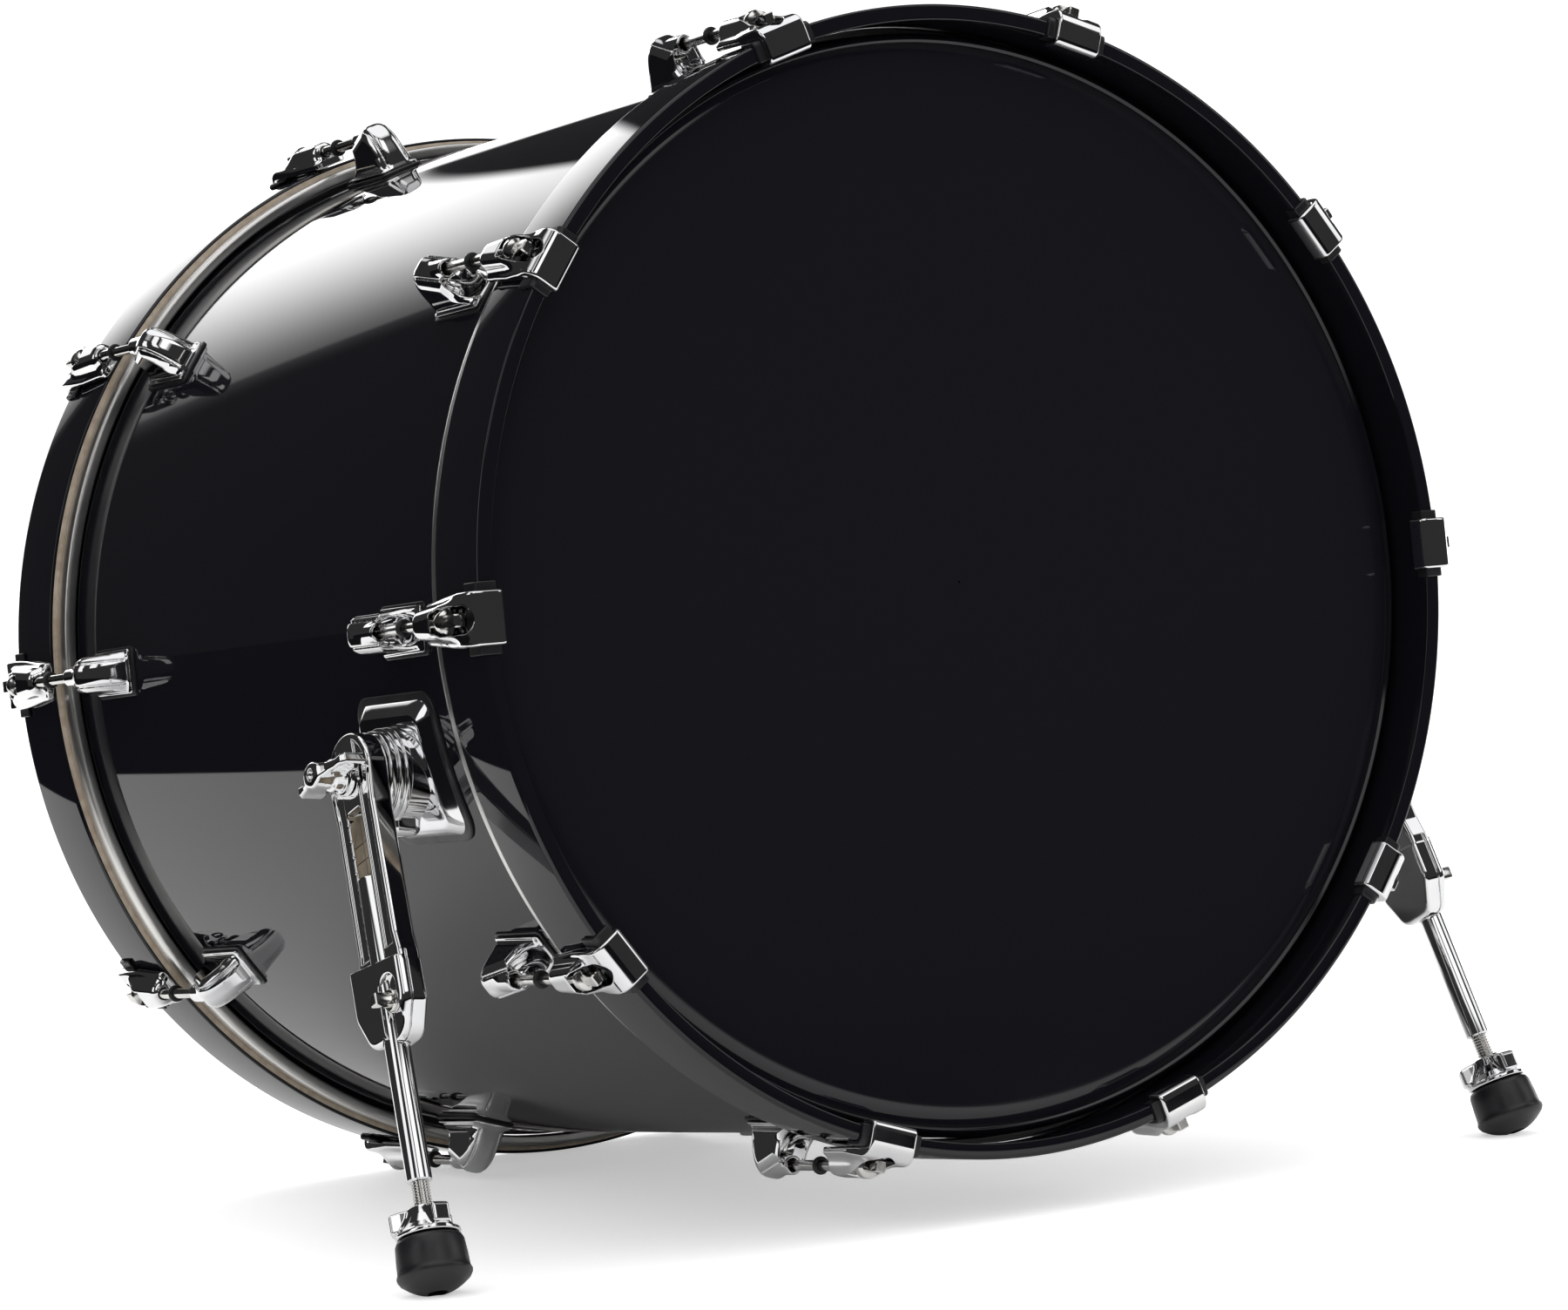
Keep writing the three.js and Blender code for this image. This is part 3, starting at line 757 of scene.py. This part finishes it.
def tension_points():
    lug = net(lug_field, (-13.6, 75, 279.6), (13.6, 121, 310), 0.55)
    claw = net(claw_field, (-14.6, -6, 278.4), (14.6, 46.5, 308.5), 0.5)
    liner = slab(liner_side(), 17.6)
    rod = tension_rod()
    ring = washer()
    verts, faces = pad(26.8, 45.5, 3.0, [(0.0, 0), (0.7, 0), (1.05, 0.35), (1.15, 0.8)])
    gasket = (verts + np.array([0, (75.4 + LUG_END + 2) / 2, 0]), faces)
    for end, turn in (("front", Matrix.Identity(4)), ("batter", TO_BATTER)):
        for i in range(POINTS):
            number = f"{i + 1:02d}"
            place = at_angle((i + 0.5) * 360 / POINTS) @ turn
            lug_node, claw_node = (f"{end}_lug_{number}",), (f"{end}_claw_rod_{number}",)
            piece(f"{end}_lug_casting_{number}", lug, "drum", CHROME, lug_node, place, UNBROKEN)
            piece(f"{end}_lug_gasket_{number}", gasket, "drum", RUBBER, (), place)
            piece(f"{end}_claw_{number}", claw, "drum", CHROME, claw_node, place, UNBROKEN)
            piece(f"{end}_claw_liner_{number}", liner, "drum", RUBBER, (), place, 35)
            piece(f"{end}_tension_rod_{number}", rod, "drum", STEEL, (), place, 35)
            piece(f"{end}_rod_washer_{number}", ring, "drum", RUBBER, (), place, 50)


# ---------------------------------------------------------------- spurs
# Drawn for the left side about the leg: x inwards along the fold axis, y rearwards, z up the leg.
PIVOT = Vector((-306.4, 116.75, -68.7))
HINGE = Matrix.Translation(PIVOT) @ Matrix.Rotation(math.radians(FOLD_TILT), 4, "Y")
LEG = HINGE @ Matrix.Rotation(math.radians(-LEG_RAKE), 4, "X")

TONGUE_X = 24.5
TONGUE_HALF = 9.5
# Where the tongue ends inside the plate, from the drum's axis.
TONGUE_ROOT = 283.0


def tongue_field(p):
    """Stop tongue below the stacked discs, standing on the plate."""
    x, y, z = p.T
    across = x - TONGUE_X
    body = block(p, (TONGUE_X, 0, -14), (TONGUE_HALF, 11, 15.5), 5.0)
    body = both(body, np.abs(across) - TONGUE_HALF, 1.6)
    line = both(np.abs(z + 18.5) - 0.45, -(body + 0.9), 0.1)
    hole = both(np.hypot(across, np.maximum(np.abs(y) - 2.5, 0)) - 2.2, z + 20, 0.2)
    body = cut(cut(body, line, 0.5), hole, 0.8)
    lean = math.radians(FOLD_TILT)
    drum_x = PIVOT.x + x * math.cos(lean) + z * math.sin(lean)
    drum_z = PIVOT.z - x * math.sin(lean) + z * math.cos(lean)
    return both(body, TONGUE_ROOT - np.hypot(drum_x, drum_z), 0.2)


def boss_discs():
    """Stacked discs between the plate and the arm."""
    bore, start, end = 4.6, 9.6, 31.5
    verts, faces = turned(rounded([
        (bore, start, 0), (22.4, start, 0.9), (22.4, 13.2, 0.6), (21.2, 13.6, 0.3), (24.0, 13.9, 0.6),
        (24.0, 16.6, 0.6), (22.6, 17.1, 0.3), (24.5, 17.6, 0.7), (24.5, 20.4, 0.5), (23.5, 20.9, 0.4),
        (23.9, end, 0), (bore, end, 0),
    ], 5), 128)
    return verts[:, [1, 0, 2]], faces


# The arm along the leg, from its round head at 0 down to the clamp's end.
ARM_HEAD = 21.5
SLOT_TOP = -18.0
SLOT_END = -99.0
CLAMP_END = -140.0
TUBE_TOP = -54.0
TUBE_END = -209.7
TUBE_R = 6.35
# The scale beside the window: its first line and the distance from line to line.
SCALE_TOP = -24
SCALE_PITCH = 8.5


def arm_outline():
    """The arm seen along the fold axis, as (y, z)."""
    head = [(ARM_HEAD * math.cos(a), ARM_HEAD * math.sin(a)) for a in np.linspace(math.pi, 0, 33)]
    front = rounded([(ARM_HEAD, 0, 0), (19.3, -20, 20), (19.6, -88, 10), (21.3, -98, 10), (21.3, -122, 12),
                     (12, CLAMP_END, 12), (0, CLAMP_END, 0)], 8)
    back = [(-y, z) for y, z in front[::-1]]
    return head + front[1:] + back[1:-1]


ARM_OUTLINE = arm_outline()


def arm_field(p):
    """Spur arm with its window and scale, and the clamp's two halves round the tube below it."""
    x, y, z = p.T
    plan = outline_field(y, z, ARM_OUTLINE)
    slope = z - 0.095 * y
    body = both(plan, np.abs(x - 3.1) - 6.1, 2.3)
    clamp = both(both(plan, slope + 100, 1.0), np.abs(x - 3.4) - 6.4, 2.0)
    body = join(body, clamp, 0.8)
    panel = both(np.maximum(plan + 3.8, np.maximum(-93 - z, 9.0 - np.abs(y))), x + 1.7, 0.8)
    body = cut(body, panel, 1.5)
    corner = 3.0
    beyond = np.maximum(np.abs(z - (SLOT_TOP + SLOT_END) / 2) - (SLOT_TOP - SLOT_END) / 2 + corner, 0)
    window = both(np.hypot(np.maximum(np.abs(y) - 4.0, 0), beyond) - corner, x - 4.2, 0.5)
    body = cut(body, window, 1.1)
    step = z - SCALE_TOP - SCALE_PITCH * np.round((z - SCALE_TOP) / SCALE_PITCH)
    extent = np.maximum(np.abs(y - 8.0) - 1.4, np.abs(z + 58) - 36)
    body = cut(body, np.maximum(np.hypot(step, x + 3.2) - 0.9, extent), 0.5)
    face = both(plan, -(x + 7.0 + 0.105 * y), 3.4)
    cap = both(face, both(x - 0.4, slope + 98.5, 0.9), 0.6)
    body = join(body, cap, 0.25)
    parting = both(np.abs(x - 0.8) - 0.4, np.maximum(-plan - 1.1, z + 98), 0.1)
    body = cut(body, parting, 0.3)
    screw_recess = both(np.hypot(y + 9.5, np.maximum(np.abs(z + 124) - 10, 0)) - 6.8, x + 3.2, 0.9)
    body = cut(body, screw_recess, 1.5)
    body = cut(body, disc(p, (0, 0, -80), 2, TUBE_R + 0.2, 62, 0.2), 0.4)
    return cut(body, disc(p, (0, 0, 0), 0, 4.3, 14, 0.3), 0.5)


def slot_floor():
    """Brown strip at the back of the arm's window, above the tube, ruled across like the edge beside it."""
    half_gap, half_width = 0.25, 6.9
    rows = []
    for i in range(4):
        low = max(SCALE_TOP - SCALE_PITCH * (i + 1) + half_gap, TUBE_TOP + 0.6)
        high = SCALE_TOP - SCALE_PITCH * i - half_gap if i else SLOT_TOP - 1.0
        rows.append(slab([(-half_width, low), (-half_width, high), (half_width, high), (half_width, low)],
                         0.35, 0.12))
    verts = np.concatenate([v for v, _ in rows])
    count = len(rows[0][0])
    faces = [[k + i * count for k in face] for i, row in enumerate(rows) for face in row[1]]
    return verts + np.array([3.95, 0, 0]), faces


# One wing of the bolt seen from above: (x along the fold axis, outwards negative; distance from the axis).
WING = [(-7.5, 0), (-8.6, 8), (-7.4, 13), (-4.4, 19), (-4.0, 23), (-5.6, 25.4), (-16.8, 25.2), (-18.8, 22.8),
        (-19.2, 17), (-21.2, 11), (-23.4, 7), (-23.4, 0)]


def wing_bolt_field(p):
    """Bolt along the fold axis, with a stepped hub and two wings."""
    x, y, z = p.T
    collar = disc(p, (-5.0, 0, 0), 0, 10.2, 1.5, 0.6)
    hub = disc(p, (-14, 0, 0), 0, 6.6, 9.6, 1.6)
    neck = disc(p, (-9.5, 0, 0), 0, 8.2, 3.5, 1.2)
    body = join(join(collar, hub, 1.5), neck, 1.2)
    thick = np.interp(np.abs(y), (4, 12, 19, 25), (4.6, 2.6, 2.3, 3.0))
    wings = both(outline_field(x, np.abs(y), WING), np.abs(z) - thick, 1.7)
    dimple = disc(p, (-23.6, 0, 0), 0, 3.0, 2.6, 0.4)
    shank = disc(p, (12, 0, 0), 0, 4.0, 18, 0.4)
    return join(cut(join(body, wings, 2.2), dimple, 0.7), shank, 0.3)


def lock_nut_field(p):
    """Three wings on a hub with a wide skirt, threaded on the spike above the foot."""
    x, y, z = p.T
    radius = np.hypot(x, y)
    skirt = np.interp(z, (-236.5, -234, -231, -227, -222), (15.4, 13.6, 11.2, 8.6, 6.9))
    hub = both(radius - skirt, np.abs(z + 229.3) - 7.4, 0.9)
    body = join(hub, disc(p, (0, 0, -236.0), 2, 15.9, 1.2, 0.9), 1.2)
    angle = np.arctan2(y, x) - 0.5
    third = 2 * math.pi / 3
    folded = (angle + third / 2) % third - third / 2
    along, aside = radius * np.cos(folded), radius * np.sin(folded)
    height = np.interp(along, (4, 12, 18), (-227.6, -228.2, -229.6))
    thick = np.interp(along, (5, 12, 18), (2.6, 3.4, 5.0))
    wing = both(np.abs(aside) - thick, np.abs(z - height) - 4.9, 1.3)
    body = join(body, both(wing, along - 17.6, 1.8), 2.6)
    return cut(body, disc(p, (0, 0, -226), 2, 4.8, 14, 0.2), 0.5)


def leg_axis(profile, segments=48):
    """A body of revolution about the leg from (radius, z) points, from its low end up."""
    angles = np.linspace(0, 2 * np.pi, segments, endpoint=False)
    cosine, sine = np.cos(angles), np.sin(angles)
    return loft([np.column_stack([r * cosine, r * sine, np.full(segments, z)]) for r, z in profile])


def leg_tube():
    """Telescopic tube, bevelled at its lower end."""
    return leg_axis([
        (4.6, TUBE_END), (5.6, TUBE_END + 0.1), (TUBE_R, TUBE_END + 0.9), (TUBE_R, TUBE_TOP - 1),
        (5.9, TUBE_TOP - 0.2), (4.6, TUBE_TOP),
    ])


def spike():
    """Threaded stud: the thread as a stack of crests, with its point inside the foot."""
    pitch, root, crest = 1.5, 3.7, 4.55
    rows = [(0.6, -261.1), (3.4, -256.1)]
    z = -254.1
    while z < TUBE_END + 2:
        rows += [(root, z), (crest, z + 0.4 * pitch), (crest, z + 0.52 * pitch), (root, z + 0.9 * pitch)]
        z += pitch
    return leg_axis(rows, 36)


def foot():
    """Rubber tip: a domed tread, a bulging rim and a waist up to the bore for the spike."""
    dome, end, bore = 24.0, -265.8, 4.9
    flat, tread = 5.9, 15.2
    middle = end + dome
    rows = [(bore, -258.1), (bore, end + 0.6)]
    for t in np.linspace(math.asin(flat / dome), math.asin(tread / dome), 8):
        rows.append((dome * math.sin(t), middle - dome * math.cos(t)))
    base = rows[-1][1]
    rows += [
        (17.2, base + 1.6), (18.3, base + 3.4), (18.55, base + 4.6), (18.2, base + 5.6), (17.85, base + 6.3),
        (17.7, base + 8), (17.5, base + 13), (16.9, -240.5), (16.0, -238.6), (14.0, -237.6), (bore, -237.55),
        (bore, -246.0),
    ]
    return leg_axis(rows, 64)


def spur_screw():
    """Square-headed key screw of the clamp, in front of the rod and across it."""
    rows = [
        (2.4, 0, 1), (3.1, 0.6, 1), (3.1, 8.0, 1), (3.4, 8.6, 0.3), (5.2, 8.8, 0), (5.7, 9.4, 0),
        (5.7, 10.4, 0), (5.3, 10.6, 0), (6.1, 10.8, 0), (6.1, 11.6, 0), (2.9, 11.8, 0), (2.9, 22.0, 0),
    ]
    verts, faces = spun(rows, 40, z=0)
    return np.column_stack([verts[:, 1] - 15, -verts[:, 0] - 10, verts[:, 2] - 120.6]), faces


def spurs():
    plate = pad(70, 71, 9, [(1.2, 0), (1.9, 0.0), (2.3, 0.3), (6.8, 5.0), (7.2, 5.8), (7.3, 7.0)])
    gasket = pad(78, 80, 12, [(0.0, 0), (0.9, 0), (1.3, 0.4), (1.45, 1.0)])
    tongue = net(tongue_field, (13, -13, -32), (36, 13, 4), 0.45)
    discs = boss_discs()
    arm = net(arm_field, (-10.5, -23, -142), (11.5, 23.5, 23), (0.4, 0.34, 0.7))
    bolt = net(wing_bolt_field, (-25, -27, -12), (32, 27.5, 12), 0.45)
    nut = net(lock_nut_field, (-22, -22, -239), (22, 22, -220), 0.4)
    parts = (
        ("spur_arm_casting", arm, "spur_arm", CHROME, "chrome", "spur_arm", UNBROKEN),
        ("spur_arm_slot_floor", slot_floor(), "spur_arm", WINDOW_BROWN, "chrome", None, 35),
        ("clamp_key_screw", spur_screw(), "spur_arm", STEEL, "steel_tube", None, 35),
        ("wing_bolt_casting", bolt, "wing_bolt", CHROME, "chrome", "wing_bolt", UNBROKEN),
        ("leg_tube", leg_tube(), "leg_rod", CHROME, "steel_tube", "leg_rod", 35),
        ("leg_spike", spike(), "leg_rod", STEEL, "steel_tube", None, 20),
        ("lock_nut_casting", nut, "lock_nut", CHROME, "chrome", "lock_nut", UNBROKEN),
        ("rubber_foot", foot(), "foot", RUBBER, "foot_rubber", "foot", 50),
    )
    for side, flip in (("left", Matrix.Identity(4)), ("right", MIRROR)):
        on_shell = flip @ at_angle(SPUR_ANGLE) @ Matrix.Translation((0, SPUR_Y, 0))
        plate_node = (f"{side}_spur_bracket",)
        piece(f"{side}_spur_plate", plate, "drum", CHROME, plate_node, on_shell, 35)
        piece(f"{side}_spur_gasket", gasket, "drum", RUBBER, (), on_shell, 35)
        piece(f"{side}_spur_tongue", tongue, "drum", CHROME, (), flip @ HINGE, UNBROKEN)
        piece(f"{side}_spur_discs", discs, "drum", CHROME, (), flip @ HINGE, 25)
        for name, made, body, look, slot, node, angle in parts:
            nodes = (f"{side}_{node}",) if node else ()
            piece(f"{side}_{name}", made, f"{side}_{body}", look, nodes, flip @ LEG, angle)


def vent():
    """Flanged eyelet through the underside of the shell."""
    bore, tube, inside = 5.4, 6.6, 270
    verts, faces = turned(rounded([
        (bore, inside, 0.3), (tube, inside, 0.3), (tube, SHELL_R + 0.2, 0), (13, SHELL_R + 0.2, 0.4),
        (12.4, SHELL_R + 2.2, 1.2), (6.2, SHELL_R + 2.6, 0.8), (bore, SHELL_R + 2.0, 0.4),
    ], 4), 64)
    upright = np.column_stack([verts[:, 0], LENGTH / 2 + verts[:, 2], -verts[:, 1]])
    piece("vent_eyelet", (upright, faces), "drum", CHROME, ("vent_grommet",))


drum_body()
tension_points()
spurs()
vent()


# ---------------------------------------------------------------- floor, light and camera
class Sums:
    """Arithmetic by shader nodes; a number or a socket may be fed in."""

    def __init__(self, tree):
        self.nodes, self.links = tree.nodes, tree.links

    def feed(self, socket, value):
        if isinstance(value, (int, float)):
            socket.default_value = value
        else:
            self.links.new(value, socket)

    def math(self, kind, first, second=0.0):
        node = self.nodes.new("ShaderNodeMath")
        node.operation = kind
        self.feed(node.inputs[0], first)
        self.feed(node.inputs[1], second)
        return node.outputs[0]

    def rise(self, value, start, end):
        """0 below start, 1 above end, smooth between; start above end falls instead."""
        node = self.nodes.new("ShaderNodeMapRange")
        node.interpolation_type = "SMOOTHSTEP"
        self.feed(node.inputs["Value"], value)
        node.inputs["From Min"].default_value = start
        node.inputs["From Max"].default_value = end
        return node.outputs["Result"]


# The paper in metres: half its side, its left edge, and where its front darkens, both only in reflections.
PAPER_HALF = 30
PAPER_EDGE = -0.69
PAPER_FRONT = (-0.8, -1.3)
CAMERA_LIFT = 0.45


def floor():
    """White paper sweep, brighter to the camera than to the drum."""
    made = bpy.data.materials.new("studio_floor")
    made.use_nodes = True
    tree = made.node_tree
    sums = Sums(tree)
    paper = tree.nodes["Principled BSDF"]
    paper.inputs["Base Color"].default_value = (0.84, 0.84, 0.835, 1)
    paper.inputs["Roughness"].default_value = 0.6
    paper.inputs["Specular IOR Level"].default_value = 0.1
    glow = tree.nodes.new("ShaderNodeEmission")
    lit = tree.nodes.new("ShaderNodeAddShader")
    dark = tree.nodes.new("ShaderNodeEmission")
    dark.inputs["Color"].default_value = (0.006, 0.006, 0.007, 1)
    dark.inputs["Strength"].default_value = 1.0
    place = tree.nodes.new("ShaderNodeNewGeometry")
    parts = tree.nodes.new("ShaderNodeSeparateXYZ")
    tree.links.new(place.outputs["Position"], parts.inputs[0])
    path = tree.nodes.new("ShaderNodeLightPath")
    edge_soft = 0.004
    beyond = sums.rise(parts.outputs["X"], PAPER_EDGE + edge_soft, PAPER_EDGE - edge_soft)
    ahead = sums.rise(parts.outputs["Y"], *PAPER_FRONT)
    share = sums.math("MULTIPLY", path.outputs["Is Glossy Ray"], sums.math("MAXIMUM", beyond, ahead))
    mix = tree.nodes.new("ShaderNodeMixShader")
    tree.links.new(share, mix.inputs[0])
    tree.links.new(sums.math("MULTIPLY", path.outputs["Is Camera Ray"], CAMERA_LIFT), glow.inputs["Strength"])
    tree.links.new(paper.outputs[0], lit.inputs[0])
    tree.links.new(glow.outputs[0], lit.inputs[1])
    tree.links.new(lit.outputs[0], mix.inputs[1])
    tree.links.new(dark.outputs[0], mix.inputs[2])
    tree.links.new(mix.outputs[0], tree.nodes["Material Output"].inputs["Surface"])
    h = PAPER_HALF
    data = bpy.data.meshes.new("floor")
    data.from_pydata([(-h, -h, 0), (h, -h, 0), (h, h, 0), (-h, h, 0)], [], [(0, 1, 2, 3)])
    data.materials.append(made)
    obj = bpy.data.objects.new("floor", data)
    bpy.context.scene.collection.objects.link(obj)


# Soft boxes as the drum sees them: bearing from straight behind towards +X, half width, low and high
# elevation, brightness, how softly the sides and then the levels fall off, all angles in degrees, and
# whether the slanting right-hand edge of the rear box cuts it.
PANELS = (
    (32.7, 40.0, 6.0, 56.0, 0.40, 0.6, 3.0, True),
    (41.5, 40.0, 6.0, 56.0, 3.60, 23.0, 3.0, True),
    (52.0, 28.0, -8.0, 12.0, 2.8, 2.0, 2.0, False),
    (0.0, 180.0, 56.0, 90.0, 1.3, 4.0, 8.0, False),
    (-92.0, 13.0, 6.0, 46.0, 1.3, 3.0, 4.0, False),
    (-142.0, 10.0, 24.0, 52.0, 1.3, 3.0, 4.0, False),
    (118.0, 16.0, 12.0, 48.0, 1.3, 4.0, 4.0, False),
    (178.0, 20.0, 30.0, 50.0, 1.6, 8.0, 6.0, False),
)
# The slanting edge is a plane through the drum: its normal, and how softly the box ends there.
REAR_EDGE = (-0.714, 0.463, -0.525)
REAR_SOFT = (-0.006, 0.012)
# The light between the boxes, and the even light on matt surfaces.
DIM = 0.035
EVEN = 1.5


def sine_of(degrees):
    return math.sin(math.radians(degrees))


def world():
    """White to the camera, even light to matt surfaces, and soft boxes in the dark to glossy ones."""
    made = bpy.data.worlds.new("studio")
    bpy.context.scene.world = made
    made.use_nodes = True
    made.cycles.sampling_method = "NONE"
    tree = made.node_tree
    tree.nodes.clear()
    sums = Sums(tree)
    place = tree.nodes.new("ShaderNodeTexCoord")
    parts = tree.nodes.new("ShaderNodeSeparateXYZ")
    tree.links.new(place.outputs["Generated"], parts.inputs[0])
    x, y, z = parts.outputs
    level = sums.math("SQRT", sums.math("ADD", sums.math("MULTIPLY", x, x), sums.math("MULTIPLY", y, y)))
    slant = sums.math("MULTIPLY", x, REAR_EDGE[0])
    slant = sums.math("ADD", slant, sums.math("MULTIPLY", y, REAR_EDGE[1]))
    slant = sums.math("ADD", slant, sums.math("MULTIPLY", z, REAR_EDGE[2]))
    rear = sums.rise(slant, *REAR_SOFT)
    total = DIM
    for bearing, half, low, high, bright, side_soft, soft, cut_rear in PANELS:
        along = sums.math("ADD", sums.math("MULTIPLY", x, sine_of(bearing)),
                          sums.math("MULTIPLY", y, sine_of(bearing + 90)))
        cosine = sums.math("DIVIDE", along, level)
        mask = sums.rise(z, sine_of(low - soft / 2), sine_of(low + soft / 2))
        if half < 180:
            edge = sums.rise(cosine, sine_of(90 + half + side_soft / 2), sine_of(90 + half - side_soft / 2))
            mask = sums.math("MULTIPLY", mask, edge)
        if high < 90:
            top = sums.rise(z, sine_of(high + soft / 2), sine_of(high - soft / 2))
            mask = sums.math("MULTIPLY", mask, top)
        if cut_rear:
            mask = sums.math("MULTIPLY", mask, rear)
        total = sums.math("ADD", total, sums.math("MULTIPLY", mask, bright))
    path = tree.nodes.new("ShaderNodeLightPath")
    glossy = sums.math("MULTIPLY", path.outputs["Is Glossy Ray"], total)
    even = sums.math("MULTIPLY", sums.math("SUBTRACT", 1.0, path.outputs["Is Glossy Ray"]), EVEN)
    shade = tree.nodes.new("ShaderNodeBackground")
    tree.links.new(sums.math("ADD", glossy, even), shade.inputs["Strength"])
    out = tree.nodes.new("ShaderNodeOutputWorld")
    tree.links.new(shade.outputs[0], out.inputs["Surface"])


def overhead_lamp():
    """Wide soft light that shapes the shadow on the paper and shows in no reflection."""
    data = bpy.data.lights.new("overhead", "AREA")
    data.shape = "RECTANGLE"
    data.size = data.size_y = 2.4
    data.energy = 26
    obj = bpy.data.objects.new("overhead", data)
    place, target = Vector((0.5, 0.9, 3.4)), Vector((0, 0, 0.2))
    obj.location = place
    obj.rotation_euler = (target - place).to_track_quat("-Z", "Y").to_euler()
    obj.visible_glossy = False
    obj.visible_camera = False
    bpy.context.scene.collection.objects.link(obj)


def camera():
    """Three-quarter view of the front head from low on the left, held with a slight roll."""
    data = bpy.data.cameras.new("camera")
    data.sensor_width = 36.0
    data.lens = 132.96
    data.clip_end = 60
    obj = bpy.data.objects.new("camera", data)
    right = Vector((0.8419, -0.5310, -0.0964))
    up = Vector((0.0723, -0.0660, 0.9952))
    back = Vector((-0.5348, -0.8448, -0.0172))
    turn = DRUM.to_3x3().normalized()
    axes = Matrix((turn @ right, turn @ up, turn @ back)).transposed()
    place = DRUM @ Vector((-1649.2, -2410.5, -78.8))
    obj.matrix_world = Matrix.Translation(place) @ axes.to_4x4()
    bpy.context.scene.collection.objects.link(obj)
    bpy.context.scene.camera = obj


floor()
world()
overhead_lamp()
camera()
scene = bpy.context.scene
scene.view_settings.view_transform = "Standard"
scene.view_settings.look = "None"
